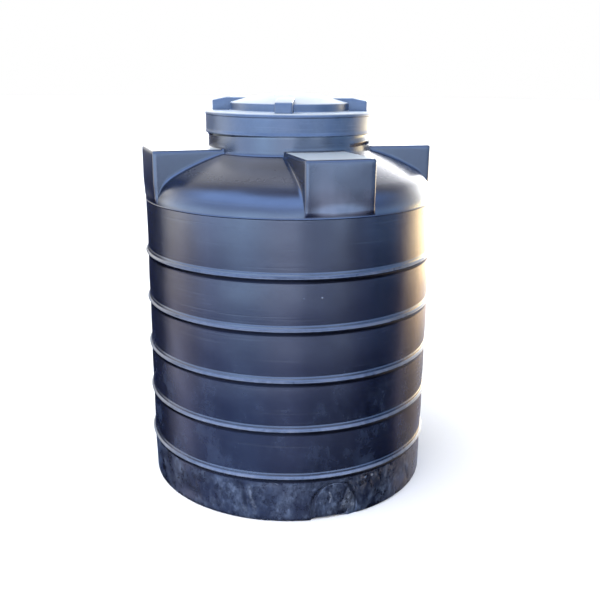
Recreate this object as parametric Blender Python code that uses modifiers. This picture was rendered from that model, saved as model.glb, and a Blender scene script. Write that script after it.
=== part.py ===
"""A rotomoulded water storage tank of about 500 litres, with a screw lid.

The shell is one hollow moulding of even wall: a ribbed cylinder on a plain base band, a domed
shoulder with four square lifting lugs, and a neck with one coarse outside thread. The wall
follows the ribs and the lugs, so the grooves and the hollow lugs show inside as well. An arched
flat near the floor is where an outlet would be fitted.
The lid is a second moulding: a skirt with an inside thread, and a domed drum with four grips.
A flat gasket lies between the neck's rim and the lid.

Metres, +Z up. The origin is the centre of the base, and -Y passes through the arched flat.
"""

import math

import bmesh
import bpy
from mathutils import Matrix, Vector

# Driving dimensions of the shell
BODY_RADIUS = 0.400
WALL = 0.005
BASE_TAPER = 0.006
BASE_EDGE_RADIUS = 0.014
RIB_COUNT = 5
RIB_LOWEST = 0.122
RIB_PITCH = 0.1335
RIB_DEPTH = 0.0065
RIB_HEIGHT = 0.022
TOP_BAND = 0.1495
SEAM_DEPTH = 0.0012
SHOULDER_RADIUS = 0.080
SHOULDER_SWEEP_DEG = 61.0
DOME_RADIUS = 0.710

# The neck and its thread
NECK_RADIUS = 0.224
NECK_HEIGHT = 0.0901
NECK_FOOT_RADIUS = 0.010
THREAD_PITCH = 0.034
THREAD_DEPTH = 0.0035
THREAD_FIRST_DEG = 26.25
THREAD_END_DEG = 12.0
NECK_RIDGE_BASE = 0.022
NECK_RIDGE_CREST = 0.012
NECK_RIDGE_LIFT = 0.0127
NECK_RIM_BARE = 0.0016

# The four lifting lugs
LUG_COUNT = 4
LUG_WIDTH = 0.179
LUG_TAPER = 0.010
LUG_STEP = 0.0047
LUG_SETBACK = 0.0035
LUG_CORNER_RADIUS = 0.014
LUG_EDGE_RADIUS = 0.008
LUG_BURIED = 0.074
LUG_SUNK = 0.0012

# The arched flat for an outlet
FLAT_WIDTH = 0.130
FLAT_BELOW_RIB = 0.026
FLAT_SETBACK = 0.018

# The lid
LID_SKIRT_WALL = 0.0035
LID_SKIRT_DEPTH = 0.053
LID_TOP_WALL = 0.004
LID_BEAD_HEIGHT = 0.006
LID_BEAD_DEPTH = 0.0012
LID_EDGE_RADIUS = 0.004
LID_SHELF_WIDTH = 0.068
DRUM_HEIGHT = 0.0228
DRUM_EDGE_RADIUS = 0.004
LID_DOME_RISE = 0.024
GRIP_COUNT = 4
GRIP_FIRST_DEG = -22.5
GRIP_WIDTH = 0.046
GRIP_OVERHANG = 0.048
GRIP_HEIGHT = 0.0356
GRIP_SLOPE_LENGTH = 0.040
GRIP_SLOPE_DROP = 0.008
GRIP_EDGE_RADIUS = 0.004
GRIP_BURIED = 0.084
LID_RIDGE_BASE = 0.009
LID_RIDGE_CREST = 0.004
LID_RIDGE_LIFT = 0.002
LID_RIDGE_BARE = 0.0027

# The gasket
GASKET_THICKNESS = 0.005
GASKET_WIDTH = 0.014

# Clearances
SEAT_GAP = 0.0003
THREAD_GAP = 0.001
GASKET_SIDE_GAP = 0.002

# How finely the round shapes are faceted, and how deep a ridge is set into its wall
SEGMENTS = 48
OUTSIDE_ARC_COUNTS = {"foot": 2, "dome": 3, "shoulder": 4, "base": 3}
INSIDE_ARC_COUNTS = {"foot": 1, "dome": 2, "shoulder": 3, "base": 1}
RIDGE_EMBED = 0.002

# Where a rib's section bends: how far it stands out and how high, as shares of its depth and height
RIB_OUTSIDE_BENDS = ((0.0, 1.0), (0.35, 0.62), (1.0, 0.28), (0.0, 0.0))
RIB_INSIDE_BENDS = ((0.0, 0.77), (0.75, 0.34), (0.0, 0.06))


def dome_centre():
    """The middle of the dome's curve, which carries on from the shoulder's curve without a break."""
    sweep = math.radians(SHOULDER_SWEEP_DEG)
    shift = SHOULDER_RADIUS - DOME_RADIUS
    return (
        BODY_RADIUS - SHOULDER_RADIUS + shift * math.cos(sweep),
        SEAM_HEIGHT + shift * math.sin(sweep),
    )


def neck_foot(inset):
    """The middle of the fillet between dome and neck, and the angle where it meets the dome."""
    centre = dome_centre()
    fillet = NECK_FOOT_RADIUS + inset
    reach = DOME_RADIUS - inset + fillet
    across = NECK_RADIUS - inset + fillet
    meeting = math.acos((across - centre[0]) / reach)
    return (across, centre[1] + reach * math.sin(meeting)), math.degrees(meeting)


# Places worked out from the sizes above
BASE_RADIUS = BODY_RADIUS - BASE_TAPER
SEAM_HEIGHT = RIB_LOWEST + (RIB_COUNT - 1) * RIB_PITCH + TOP_BAND
NECK_START = neck_foot(0.0)[0][1]
NECK_TOP = NECK_START + NECK_HEIGHT
LUG_TOP = NECK_START + LUG_STEP
LUG_ROOT = NECK_RADIUS - LUG_BURIED
FLAT_HEIGHT = RIB_LOWEST - FLAT_BELOW_RIB
GASKET_BOTTOM = NECK_TOP + SEAT_GAP
LID_UNDERSIDE = GASKET_BOTTOM + GASKET_THICKNESS + SEAT_GAP
LID_TOP = LID_UNDERSIDE + LID_TOP_WALL
LID_SKIRT_BOTTOM = LID_UNDERSIDE - LID_SKIRT_DEPTH
LID_INNER_RADIUS = NECK_RADIUS + THREAD_DEPTH + THREAD_GAP
LID_RADIUS = LID_INNER_RADIUS + LID_SKIRT_WALL
DRUM_RADIUS = LID_RADIUS - LID_SHELF_WIDTH
GRIP_REACH = DRUM_RADIUS + GRIP_OVERHANG
GRIP_ROOT = DRUM_RADIUS - GRIP_BURIED
NECK_RIDGE_FIRST = NECK_START + NECK_RIDGE_LIFT + NECK_RIDGE_BASE / 2
NECK_RIDGE_LAST = NECK_TOP - NECK_RIM_BARE - NECK_RIDGE_BASE / 2
LID_RIDGE_FIRST = LID_SKIRT_BOTTOM + LID_RIDGE_LIFT + LID_RIDGE_BASE / 2
LID_RIDGE_LAST = GASKET_BOTTOM - LID_RIDGE_BARE - LID_RIDGE_BASE / 2


def clear_scene():
    for old in list(bpy.data.objects):
        bpy.data.objects.remove(old, do_unlink=True)


def new_collection(name):
    made = bpy.data.collections.new(name)
    bpy.context.scene.collection.children.link(made)
    return made


def plastic(name, colour, roughness):
    """A moulded plastic or rubber finish."""
    made = bpy.data.materials.new(name)
    made.use_nodes = True
    shader = made.node_tree.nodes["Principled BSDF"]
    shader.inputs["Base Color"].default_value = (*colour, 1.0)
    shader.inputs["Roughness"].default_value = roughness
    shader.inputs["Metallic"].default_value = 0.0
    return made


def new_object(name, mesh, collection, material=None):
    made = bpy.data.objects.new(name, mesh)
    collection.objects.link(made)
    if material:
        mesh.materials.append(material)
    return made


def as_cutter(cutter):
    """A tool that shapes another piece and isn't a piece itself."""
    cutter.hide_render = True
    cutter.display_type = "WIRE"
    return cutter


def boolean(target, tool, operation):
    cut = target.modifiers.new(f"{operation.lower()} {tool.name}", "BOOLEAN")
    cut.object = tool
    cut.operation = operation
    cut.solver = "EXACT"


def arc(centre, radius, start_deg, end_deg, steps):
    """Points of (radius, height) on an arc, measured from the outward direction upwards."""
    points = []
    for step in range(steps + 1):
        angle = math.radians(start_deg + (end_deg - start_deg) * step / steps)
        points.append((centre[0] + radius * math.cos(angle), centre[1] + radius * math.sin(angle)))
    return points


def turned(name, profile, collection, material=None):
    """A profile of (radius, height) points, from the top down its outer side, turned about Z."""
    mesh = bpy.data.meshes.new(name)
    edges = [(i, i + 1) for i in range(len(profile) - 1)]
    mesh.from_pydata([(r, 0.0, z) for r, z in profile], edges, [])
    made = new_object(name, mesh, collection, material)
    screw = made.modifiers.new("turn", "SCREW")
    screw.axis = "Z"
    screw.angle = math.tau
    screw.steps = screw.render_steps = SEGMENTS
    screw.use_merge_vertices = True
    screw.merge_threshold = 0.00002
    screw.use_normal_calculate = False
    return made


def mesh_object(name, bm, collection, material=None):
    bmesh.ops.recalc_face_normals(bm, faces=bm.faces)
    mesh = bpy.data.meshes.new(name)
    bm.to_mesh(mesh)
    bm.free()
    return new_object(name, mesh, collection, material)


def extruded(bm, outline, along):
    """A closed outline of points, filled and extruded along a vector."""
    face = bm.faces.new([bm.verts.new(point) for point in outline])
    grown = bmesh.ops.extrude_face_region(bm, geom=[face])
    far = [item for item in grown["geom"] if isinstance(item, bmesh.types.BMVert)]
    bmesh.ops.translate(bm, verts=far, vec=along)
    return far


def rounded(bm, edges, radius, segments):
    bmesh.ops.bevel(
        bm, geom=edges, offset=radius, offset_type="OFFSET", segments=segments,
        profile=0.5, affect="EDGES", clamp_overlap=True, material=-1,
    )


def around(bm, count, first_deg=0.0):
    """Copies of everything in the bmesh, evenly spaced about Z, and all of them turned alike."""
    first = bm.verts[:] + bm.edges[:] + bm.faces[:]
    for index in range(1, count):
        copy = bmesh.ops.duplicate(bm, geom=first)["geom"]
        verts = [item for item in copy if isinstance(item, bmesh.types.BMVert)]
        turn = Matrix.Rotation(math.tau * index / count, 3, "Z")
        bmesh.ops.rotate(bm, cent=(0.0, 0.0, 0.0), matrix=turn, verts=verts)
    turn = Matrix.Rotation(math.radians(first_deg), 3, "Z")
    bmesh.ops.rotate(bm, cent=(0.0, 0.0, 0.0), matrix=turn, verts=bm.verts)


def rib_points(foot, inset):
    """One rib from its soft top down to its undercut foot; inside, the groove behind it."""
    bends = RIB_INSIDE_BENDS if inset else RIB_OUTSIDE_BENDS
    return [
        (BODY_RADIUS - inset + RIB_DEPTH * out, foot + RIB_HEIGHT * up) for out, up in bends
    ]


def wall_profile(inset):
    """The shell's section from the neck down to the middle of the base, moved in by inset."""
    steps = INSIDE_ARC_COUNTS if inset else OUTSIDE_ARC_COUNTS
    foot_centre, meeting_deg = neck_foot(inset)
    points = arc(foot_centre, NECK_FOOT_RADIUS + inset, 180.0, 180.0 + meeting_deg, steps["foot"])
    points += arc(dome_centre(), DOME_RADIUS - inset, meeting_deg, SHOULDER_SWEEP_DEG, steps["dome"])[1:]
    centre = (BODY_RADIUS - SHOULDER_RADIUS, SEAM_HEIGHT)
    points += arc(centre, SHOULDER_RADIUS - inset, SHOULDER_SWEEP_DEG, 0.0, steps["shoulder"])[1:-1]
    if not inset:
        points.append((BODY_RADIUS, SEAM_HEIGHT + 2 * SEAM_DEPTH))
        points.append((BODY_RADIUS + SEAM_DEPTH, SEAM_HEIGHT))
    points.append((BODY_RADIUS - inset, SEAM_HEIGHT - 2 * SEAM_DEPTH))
    for index in reversed(range(RIB_COUNT)):
        points += rib_points(RIB_LOWEST + index * RIB_PITCH, inset)
    centre = (BASE_RADIUS - BASE_EDGE_RADIUS, BASE_EDGE_RADIUS)
    points += arc(centre, BASE_EDGE_RADIUS - inset, 0.0, -90.0, steps["base"])
    points.append((0.0, inset))
    return points


def lug_block(name, inset, collection):
    """Four square lugs with flat outer faces, a little narrower towards the neck.

    They end just below the seam, where the upper half of the mould ends.
    """
    half = LUG_WIDTH / 2 - inset
    reach = BODY_RADIUS - LUG_SETBACK - inset
    corner = LUG_CORNER_RADIUS - inset
    side = [(half - LUG_TAPER, LUG_ROOT)]
    side += arc((half - corner, reach - corner), corner, 0.0, 90.0, 3)
    outline = [(x, -y) for x, y in side] + [(-x, -y) for x, y in reversed(side)]
    bottom = SEAM_HEIGHT - LUG_SUNK + inset
    bm = bmesh.new()
    top = extruded(bm, [(x, y, bottom) for x, y in outline], (0.0, 0.0, LUG_TOP - inset - bottom))
    lid_edges = [edge for edge in bm.edges if all(vert in top for vert in edge.verts)]
    rounded(bm, lid_edges, LUG_EDGE_RADIUS - inset, 2)
    around(bm, LUG_COUNT)
    return as_cutter(mesh_object(name, bm, collection))


def outlet_flat(name, inset, collection):
    """What the arched flat takes out of the round wall; with an inset, what stays behind it."""
    half = FLAT_WIDTH / 2 + inset
    spring = FLAT_HEIGHT - FLAT_WIDTH / 2
    face = -(BODY_RADIUS - FLAT_SETBACK - inset)
    outline = [(-half, face, -half), (half, face, -half)]
    outline += [(x, face, z) for x, z in arc((0.0, spring), half, 0.0, 180.0, 8)]
    bm = bmesh.new()
    extruded(bm, outline, (0.0, face, 0.0))
    return as_cutter(mesh_object(name, bm, collection))


def thread_angle(height):
    """Where the neck's ridge reaches a height, in degrees from its start."""
    return 360.0 * (height - NECK_RIDGE_FIRST) / THREAD_PITCH


def thread_ridge(name, wall, depth, widths, heights, lag_deg, collection):
    """A helical ridge with tapered ends on a wall: outwards for a positive depth, else inwards."""
    base, crest = widths
    first, last = heights
    first_deg = THREAD_FIRST_DEG + thread_angle(first) + lag_deg
    step_deg = 360.0 / SEGMENTS
    steps = round((thread_angle(last) - thread_angle(first)) / step_deg)
    into = -math.copysign(RIDGE_EMBED, depth)
    bm = bmesh.new()
    loops = []
    for step in range(steps + 1):
        from_end = min(step, steps - step) * step_deg
        rise = math.sin(min(1.0, from_end / THREAD_END_DEG) * math.pi / 2)
        top = wall + into / 2 + (depth - into / 2) * rise
        middle = first + THREAD_PITCH * step / SEGMENTS
        turn = Matrix.Rotation(math.radians(first_deg + step * step_deg - 90.0), 3, "Z")
        section = [
            (wall + into, 0.0, middle - base / 2),
            (top, 0.0, middle - crest / 2),
            (top, 0.0, middle + crest / 2),
            (wall + into, 0.0, middle + base / 2),
        ]
        loops.append([bm.verts.new(turn @ Vector(point)) for point in section])
    for one, other in zip(loops, loops[1:]):
        for k in range(4):
            bm.faces.new([one[k], one[k - 1], other[k - 1], other[k]])
    bm.faces.new(loops[0])
    bm.faces.new(loops[-1])
    return as_cutter(mesh_object(name, bm, collection))


def make_shell(pieces, tools, material):
    outside = [(0.0, NECK_TOP), (NECK_RADIUS, NECK_TOP)] + wall_profile(0.0)
    inside = [(0.0, NECK_TOP + WALL), (NECK_RADIUS - WALL, NECK_TOP + WALL)] + wall_profile(WALL)
    cavity = as_cutter(turned("cavity", inside, tools))
    boolean(cavity, lug_block("lug_hollows", WALL, tools), "UNION")
    boolean(cavity, outlet_flat("flat_backing", WALL, tools), "DIFFERENCE")
    ridge = thread_ridge(
        "neck_thread", NECK_RADIUS, THREAD_DEPTH, (NECK_RIDGE_BASE, NECK_RIDGE_CREST),
        (NECK_RIDGE_FIRST, NECK_RIDGE_LAST), 0.0, tools,
    )
    shell = turned("tank_shell", outside, pieces, material)
    boolean(shell, lug_block("lugs", 0.0, tools), "UNION")
    boolean(shell, ridge, "UNION")
    boolean(shell, outlet_flat("flat_cut", 0.0, tools), "DIFFERENCE")
    boolean(shell, cavity, "DIFFERENCE")
    return shell


def lid_dome(inset):
    """The drum's domed top, from the middle out to the rounded rim."""
    rim_height = LID_TOP + DRUM_HEIGHT
    across = DRUM_RADIUS - DRUM_EDGE_RADIUS
    radius = (across**2 + LID_DOME_RISE**2) / (2 * LID_DOME_RISE)
    edge_deg = math.degrees(math.acos(across / radius))
    centre = (0.0, rim_height + LID_DOME_RISE - radius)
    dome = arc(centre, radius - inset, 90.0, edge_deg, 3 if inset else 4)
    if inset:
        return dome[:-1] + [(DRUM_RADIUS - inset, rim_height - DRUM_EDGE_RADIUS)]
    return dome[:-1] + arc((across, rim_height - DRUM_EDGE_RADIUS), DRUM_EDGE_RADIUS, edge_deg, 0.0, 2)


def grip_block(name, inset, collection):
    """Four radial grips, level on top with a sloped outer end."""
    half = GRIP_WIDTH / 2 - inset
    top = LID_TOP + GRIP_HEIGHT - inset
    bottom = LID_UNDERSIDE - inset
    reach = GRIP_REACH - inset
    outline = [
        (-half, -GRIP_ROOT, bottom),
        (-half, -reach, bottom),
        (-half, -reach, top - GRIP_SLOPE_DROP),
        (-half, -(reach - GRIP_SLOPE_LENGTH), top),
        (-half, -GRIP_ROOT, top),
    ]
    bm = bmesh.new()
    extruded(bm, outline, (2 * half, 0.0, 0.0))
    if not inset:
        rounded(bm, [edge for edge in bm.edges if grip_edge_shows(edge)], GRIP_EDGE_RADIUS, 2)
    around(bm, GRIP_COUNT, GRIP_FIRST_DEG)
    return as_cutter(mesh_object(name, bm, collection))


def grip_edge_shows(edge):
    """An edge of a grip that stands above the lid and outside the drum."""
    above = max(vert.co.z for vert in edge.verts) > LID_TOP
    outside = min(vert.co.y for vert in edge.verts) < -GRIP_ROOT
    return above and outside


def lid_outside():
    """The lid's outer section: dome, drum, shelf, bead and skirt."""
    bead_bottom = LID_TOP - LID_BEAD_HEIGHT
    skirt = LID_RADIUS - LID_BEAD_DEPTH
    edge = LID_EDGE_RADIUS
    lip = LID_SKIRT_WALL / 2
    points = lid_dome(0.0) + [(DRUM_RADIUS, LID_TOP)]
    points += arc((LID_RADIUS - edge, LID_TOP - edge), edge, 90.0, 0.0, 2)
    points += [(LID_RADIUS, bead_bottom), (skirt, bead_bottom - LID_BEAD_DEPTH)]
    points += arc((skirt - lip, LID_SKIRT_BOTTOM + lip), lip, 0.0, -90.0, 2)
    points.append((0.0, LID_SKIRT_BOTTOM))
    return points


def lid_inside():
    """The lid's hollow, open below."""
    below = LID_SKIRT_BOTTOM - LID_TOP_WALL
    return lid_dome(LID_TOP_WALL) + [
        (DRUM_RADIUS - LID_TOP_WALL, LID_UNDERSIDE),
        (LID_INNER_RADIUS, LID_UNDERSIDE),
        (LID_INNER_RADIUS, below),
        (0.0, below),
    ]


def make_lid(pieces, tools, material):
    hollow = as_cutter(turned("lid_hollow", lid_inside(), tools))
    boolean(hollow, grip_block("grip_hollows", LID_TOP_WALL, tools), "UNION")
    ridge = thread_ridge(
        "lid_thread", LID_INNER_RADIUS, -THREAD_DEPTH, (LID_RIDGE_BASE, LID_RIDGE_CREST),
        (LID_RIDGE_FIRST, LID_RIDGE_LAST), 180.0, tools,
    )
    lid = turned("lid", lid_outside(), pieces, material)
    boolean(lid, grip_block("grips", 0.0, tools), "UNION")
    boolean(lid, hollow, "DIFFERENCE")
    boolean(lid, ridge, "UNION")
    return lid


def make_gasket(pieces, material):
    outer = LID_INNER_RADIUS - GASKET_SIDE_GAP
    inner = outer - GASKET_WIDTH
    top = GASKET_BOTTOM + GASKET_THICKNESS
    section = [(inner, top), (outer, top), (outer, GASKET_BOTTOM), (inner, GASKET_BOTTOM)]
    section.append(section[0])
    return turned("lid_gasket", section, pieces, material)


def smooth_round_faces(piece):
    piece.data.shade_smooth()
    piece.data.set_sharp_from_angle(angle=math.radians(30.0))


def main():
    clear_scene()
    pieces = new_collection("storage_tank")
    tools = new_collection("shaping_tools")
    shell_plastic = plastic("tank_plastic", (0.020, 0.028, 0.055), 0.38)
    lid_plastic = plastic("lid_plastic", (0.030, 0.045, 0.085), 0.42)
    rubber = plastic("gasket_rubber", (0.020, 0.020, 0.020), 0.80)
    made = [
        make_shell(pieces, tools, shell_plastic),
        make_lid(pieces, tools, lid_plastic),
        make_gasket(pieces, rubber),
    ]
    for piece in made:
        smooth_round_faces(piece)


main()
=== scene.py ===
# %% [markdown]
# # A moulded water tank
# This lesson dresses a plastic water tank of about 500 litres. The tank is one hollow moulding: powder
# is melted onto the inside of a turning mould, so the wall is even and every edge is soft. A second
# moulding, the lid, screws onto its neck. The fixed model gives every size and place, and the lesson
# replaces its faceted pieces by smooth ones of the same form, and gives them their finish.

# %% Load the fixed model
import math

import bmesh
import bpy
from mathutils import Matrix, Vector, noise


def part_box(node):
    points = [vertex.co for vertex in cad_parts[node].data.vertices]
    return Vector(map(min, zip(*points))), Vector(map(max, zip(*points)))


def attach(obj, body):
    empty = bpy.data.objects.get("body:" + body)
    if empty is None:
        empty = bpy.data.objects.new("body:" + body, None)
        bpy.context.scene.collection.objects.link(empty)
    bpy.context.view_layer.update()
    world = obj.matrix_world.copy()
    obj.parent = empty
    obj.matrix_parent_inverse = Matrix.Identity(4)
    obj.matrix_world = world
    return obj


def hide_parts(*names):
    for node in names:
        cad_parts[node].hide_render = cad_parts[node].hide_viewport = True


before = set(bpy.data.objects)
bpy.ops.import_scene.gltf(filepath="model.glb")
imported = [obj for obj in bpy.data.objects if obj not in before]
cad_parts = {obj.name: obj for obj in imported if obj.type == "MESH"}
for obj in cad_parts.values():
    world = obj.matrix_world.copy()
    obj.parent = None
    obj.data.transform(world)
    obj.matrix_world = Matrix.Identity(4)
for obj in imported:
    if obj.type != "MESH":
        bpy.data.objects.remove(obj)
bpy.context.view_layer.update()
shell_low, shell_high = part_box("tank_shell")
lid_low, lid_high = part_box("lid")

# %% [markdown]
# ## Sizes
# Everything is in metres. The neck's rim, the lid's skirt and the lid's width are read from the fixed
# model. The other sizes are those that the tank was designed with, so the new surfaces lie on the old.

# %% Sizes of the shell
BODY_RADIUS = 0.400
WALL = 0.005
BASE_RADIUS = 0.399
BASE_EDGE_RADIUS = 0.006
RIB_COUNT = 5
RIB_LOWEST = 0.122
RIB_PITCH = 0.1335
RIB_DEPTH = shell_high.x - BODY_RADIUS
RIB_HEIGHT = 0.022
RIB_NOSE_RADIUS = 0.0026
RIB_NOSE_HEIGHT = 0.0056
RIB_RUN_OUT = 0.0102
SEAM_HEIGHT = 0.8055
SEAM_DEPTH = 0.0012
SHOULDER_RADIUS = 0.080
SHOULDER_SWEEP_DEG = 61.0
DOME_RADIUS = 0.710
NECK_RADIUS = 0.224
NECK_TOP = shell_high.z
NECK_START = NECK_TOP - 0.0901
NECK_LIP = 0.0012
NECK_FOOT_RADIUS = 0.010
FLAT_HALF_WIDTH = 0.065
FLAT_TOP = 0.105
FLAT_REACH = 0.382
print("neck rim at", round(NECK_TOP, 4), "ribs stand out", round(RIB_DEPTH, 4))

# %% Sizes of the lugs
LUG_COUNT = 4
LUG_HALF_WIDTH = 0.0912
LUG_TOP = NECK_START + 0.0047
LUG_FACE = 0.3965
LUG_SLANT = 0.0406
LUG_CORNER_RADIUS = 0.011
LUG_EDGE_RADIUS = 0.0065
LUG_FILLET_RADIUS = 0.009
LUG_FACE_BULGE = 0.0015
LUG_DRAW_IN = 0.0042
LUG_DRAW_IN_HEIGHT = 0.055
LUG_BLEND_HEIGHT = 0.009
LUG_MELT = 0.006
LUG_NECK_FILLET = 0.006
print("lug tops at", round(LUG_TOP, 4))

# %% [markdown]
# ## The section of the shell
# A turned body starts as a section: points of radius and height, from the neck's rim down to the middle
# of the base. Round stretches are arcs. The same functions give the inside, moved in by the wall, so the
# wall stays even as it does in the mould.


# %% Arcs and even steps
def arc(centre, radius, start_deg, end_deg, steps):
    """Points on an arc, measured from the outward direction upwards."""
    angles = [math.radians(start_deg + (end_deg - start_deg) * i / steps) for i in range(steps + 1)]
    return [(centre[0] + radius * math.cos(a), centre[1] + radius * math.sin(a)) for a in angles]


def between(start, end, steps):
    """Points on a straight line, without its two ends."""
    shares = [i / steps for i in range(1, steps)]
    return [(start[0] + (end[0] - start[0]) * s, start[1] + (end[1] - start[1]) * s) for s in shares]


# %% Dome, shoulder and the foot of the neck
SHOULDER_CENTRE = (BODY_RADIUS - SHOULDER_RADIUS, SEAM_HEIGHT)
SWEEP = math.radians(SHOULDER_SWEEP_DEG)
DOME_CENTRE = (
    SHOULDER_CENTRE[0] - (DOME_RADIUS - SHOULDER_RADIUS) * math.cos(SWEEP),
    SHOULDER_CENTRE[1] - (DOME_RADIUS - SHOULDER_RADIUS) * math.sin(SWEEP),
)
FOOT_CENTRE = (NECK_RADIUS + NECK_FOOT_RADIUS, NECK_START)
MEETING_DEG = math.degrees(math.atan2(FOOT_CENTRE[1] - DOME_CENTRE[1], FOOT_CENTRE[0] - DOME_CENTRE[0]))


def surface_height(radius, inset):
    """The height of the dome, the shoulder or the neck's foot at a radius."""
    def on_arc(centre, size, side):
        return centre[1] + side * math.sqrt(max(0.0, size**2 - (radius - centre[0]) ** 2))
    foot = NECK_FOOT_RADIUS + inset
    if radius > SHOULDER_CENTRE[0] + (SHOULDER_RADIUS - inset) * math.cos(SWEEP):
        return on_arc(SHOULDER_CENTRE, SHOULDER_RADIUS - inset, 1)
    if radius > FOOT_CENTRE[0] - foot * math.cos(math.radians(MEETING_DEG)):
        return on_arc(DOME_CENTRE, DOME_RADIUS - inset, 1)
    return on_arc(FOOT_CENTRE, foot, -1)


print("dome meets the neck at", round(surface_height(NECK_RADIUS + NECK_FOOT_RADIUS, 0.0), 4))


# %% A rib, outside and inside
def rib_outside(foot):
    """A rib seen from outside: a low step, then a round bead that runs out below in a hollow curve."""
    low_step = [(0.0, 0.0205), (0.0, 0.0188), (0.0005, 0.0180), (0.0011, 0.0170), (0.0013, 0.0158)]
    bead = [(0.0013, 0.0122), (0.0016, 0.0112), (0.0024, 0.0100)]
    hollow = [(0.0036, 0.0016), (0.0018, -0.0010), (0.0006, -0.0040), (0.0, -0.0072), (0.0, -0.0088)]
    rows = [(BODY_RADIUS + out, foot + up) for out, up in low_step + bead]
    nose = (BODY_RADIUS + RIB_DEPTH - RIB_NOSE_RADIUS, foot + RIB_NOSE_HEIGHT)
    rows += arc(nose, RIB_NOSE_RADIUS, 52.0, -55.0, 6)
    return rows + [(BODY_RADIUS + out, foot + up) for out, up in hollow]


def rib_inside(foot):
    """The shallow groove that the rib leaves on the inside."""
    return [
        (BODY_RADIUS - WALL, foot + RIB_HEIGHT * 0.77),
        (BODY_RADIUS - WALL + RIB_DEPTH * 0.55, foot + RIB_HEIGHT * 0.48),
        (BODY_RADIUS - WALL + RIB_DEPTH * 0.75, foot + RIB_HEIGHT * 0.30),
        (BODY_RADIUS - WALL, foot + RIB_HEIGHT * 0.06),
    ]


# %% The whole section
ABOVE_LUGS = (0.0115, 0.0065, 0.0030)
FLOOR_RINGS = (0.350, 0.250, 0.150, 0.050, 0.0)


def shell_section(inset):
    """The rows of one skin from the rim down, and the rows between which the lugs rise."""
    fine = 2 if inset else 1
    neck, lip = NECK_RADIUS - inset, NECK_LIP
    lug_ring = max(LUG_TOP - inset, NECK_START + 0.0001)
    rim = neck + lip if inset else neck - lip
    rows = [(rim, NECK_TOP), (neck, NECK_TOP - lip)]
    rows += between((neck, NECK_TOP - lip), (neck, lug_ring + ABOVE_LUGS[0]), 8 // fine)
    rows += [(neck, lug_ring + step) for step in ABOVE_LUGS]
    first = len(rows)
    rows.append((neck, lug_ring))
    rows += arc(FOOT_CENTRE, NECK_FOOT_RADIUS + inset, 180.0, 180.0 + MEETING_DEG, 4)
    rows += arc(DOME_CENTRE, DOME_RADIUS - inset, MEETING_DEG, SHOULDER_SWEEP_DEG, 10 // fine)[1:]
    shoulder = SHOULDER_RADIUS - inset
    ring_deg = 6.0 if inset else 3.0
    rows += arc(SHOULDER_CENTRE, shoulder, SHOULDER_SWEEP_DEG, ring_deg, 10 // fine)[1:]
    last = len(rows) - 1
    rows += arc(SHOULDER_CENTRE, shoulder, ring_deg, 0.0, 2)[1:-1]
    rows += seam_and_ribs(inset, fine) + base_rows(inset, fine)
    return rows, first, last


def seam_and_ribs(inset, fine):
    """The seam where the dome begins, and the ribbed wall below it."""
    wall = BODY_RADIUS - inset
    if inset:
        rows = [(wall, SEAM_HEIGHT)]
    else:
        rows = [(wall + SEAM_DEPTH * out, SEAM_HEIGHT + SEAM_DEPTH * up) for out, up in
                ((0.0, 2.4), (0.35, 1.2), (1.0, 0.3), (0.8, -0.7), (0.0, -1.6))]
    for index in reversed(range(RIB_COUNT)):
        rib = (rib_inside if inset else rib_outside)(RIB_LOWEST + index * RIB_PITCH)
        rows += between(rows[-1], rib[0], 6 // fine) + rib
    return rows


def base_rows(inset, fine):
    """The plain base band, its rounded edge and the flat bottom."""
    centre = (BASE_RADIUS - BASE_EDGE_RADIUS, BASE_EDGE_RADIUS)
    edge = arc(centre, BASE_EDGE_RADIUS - inset, 0.0, -90.0, 6 // fine)
    start = (BODY_RADIUS - inset, RIB_LOWEST - RIB_RUN_OUT)
    rows = [start] + between(start, edge[0], 8 // fine) + edge
    return rows + [(radius, inset) for radius in FLOOR_RINGS]


# %% [markdown]
# ## Columns that follow the lugs
# Four lugs stand out of the dome, with flat outer faces and straight flanks. A plain spin has its columns
# of vertices fanned out from the axis, and they would cross those flanks. So after the spin each column
# slides sideways: within a lug the columns run along its flanks, with closely spaced ones beside each
# edge that is rounded later, and between the lugs they fan out evenly. The rows stay as they were spun.

# %% Where each column stands
COLUMNS = 192
QUARTER = COLUMNS // LUG_COUNT
HALF = QUARTER // 2
INSIDE_SHARES = (0.0, 0.14, 0.28, 0.42, 0.56, 0.69, 0.80, 0.88, 0.935, 0.970, 1.0)
FLANK = len(INSIDE_SHARES) - 1
BESIDE_FLANK = (0.003, 0.0065, 0.011, 0.018, 0.027)
BEYOND = FLANK + len(BESIDE_FLANK)


def half_at(y, inset):
    """Half the width of a lug at a distance from the axis: it narrows a little towards the neck."""
    return LUG_HALF_WIDTH - inset - LUG_SLANT * (LUG_FACE - inset - y)


def local_column(column):
    """The lug that a column belongs to, and its place counted from that lug's middle."""
    if column >= COLUMNS - HALF:
        column -= COLUMNS
    lug = math.floor((column + HALF) / QUARTER)
    return lug, column - lug * QUARTER


def column_angle(column, radius, inset):
    """The angle of a column about the axis, at a radius."""
    lug, local = local_column(column)
    place = abs(local)
    share = INSIDE_SHARES[min(place, FLANK)]
    extra = BESIDE_FLANK[min(place, BEYOND) - FLANK - 1] if place > FLANK else 0.0
    x = 0.0
    for _ in range(3):
        x = share * half_at(math.sqrt(radius**2 - x**2), inset) + extra
    angle = math.asin(x / radius)
    if place > BEYOND:
        angle += (math.pi / LUG_COUNT - angle) * (place - BEYOND) / (HALF - BEYOND)
    return lug * math.tau / LUG_COUNT + math.copysign(angle, local)


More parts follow.
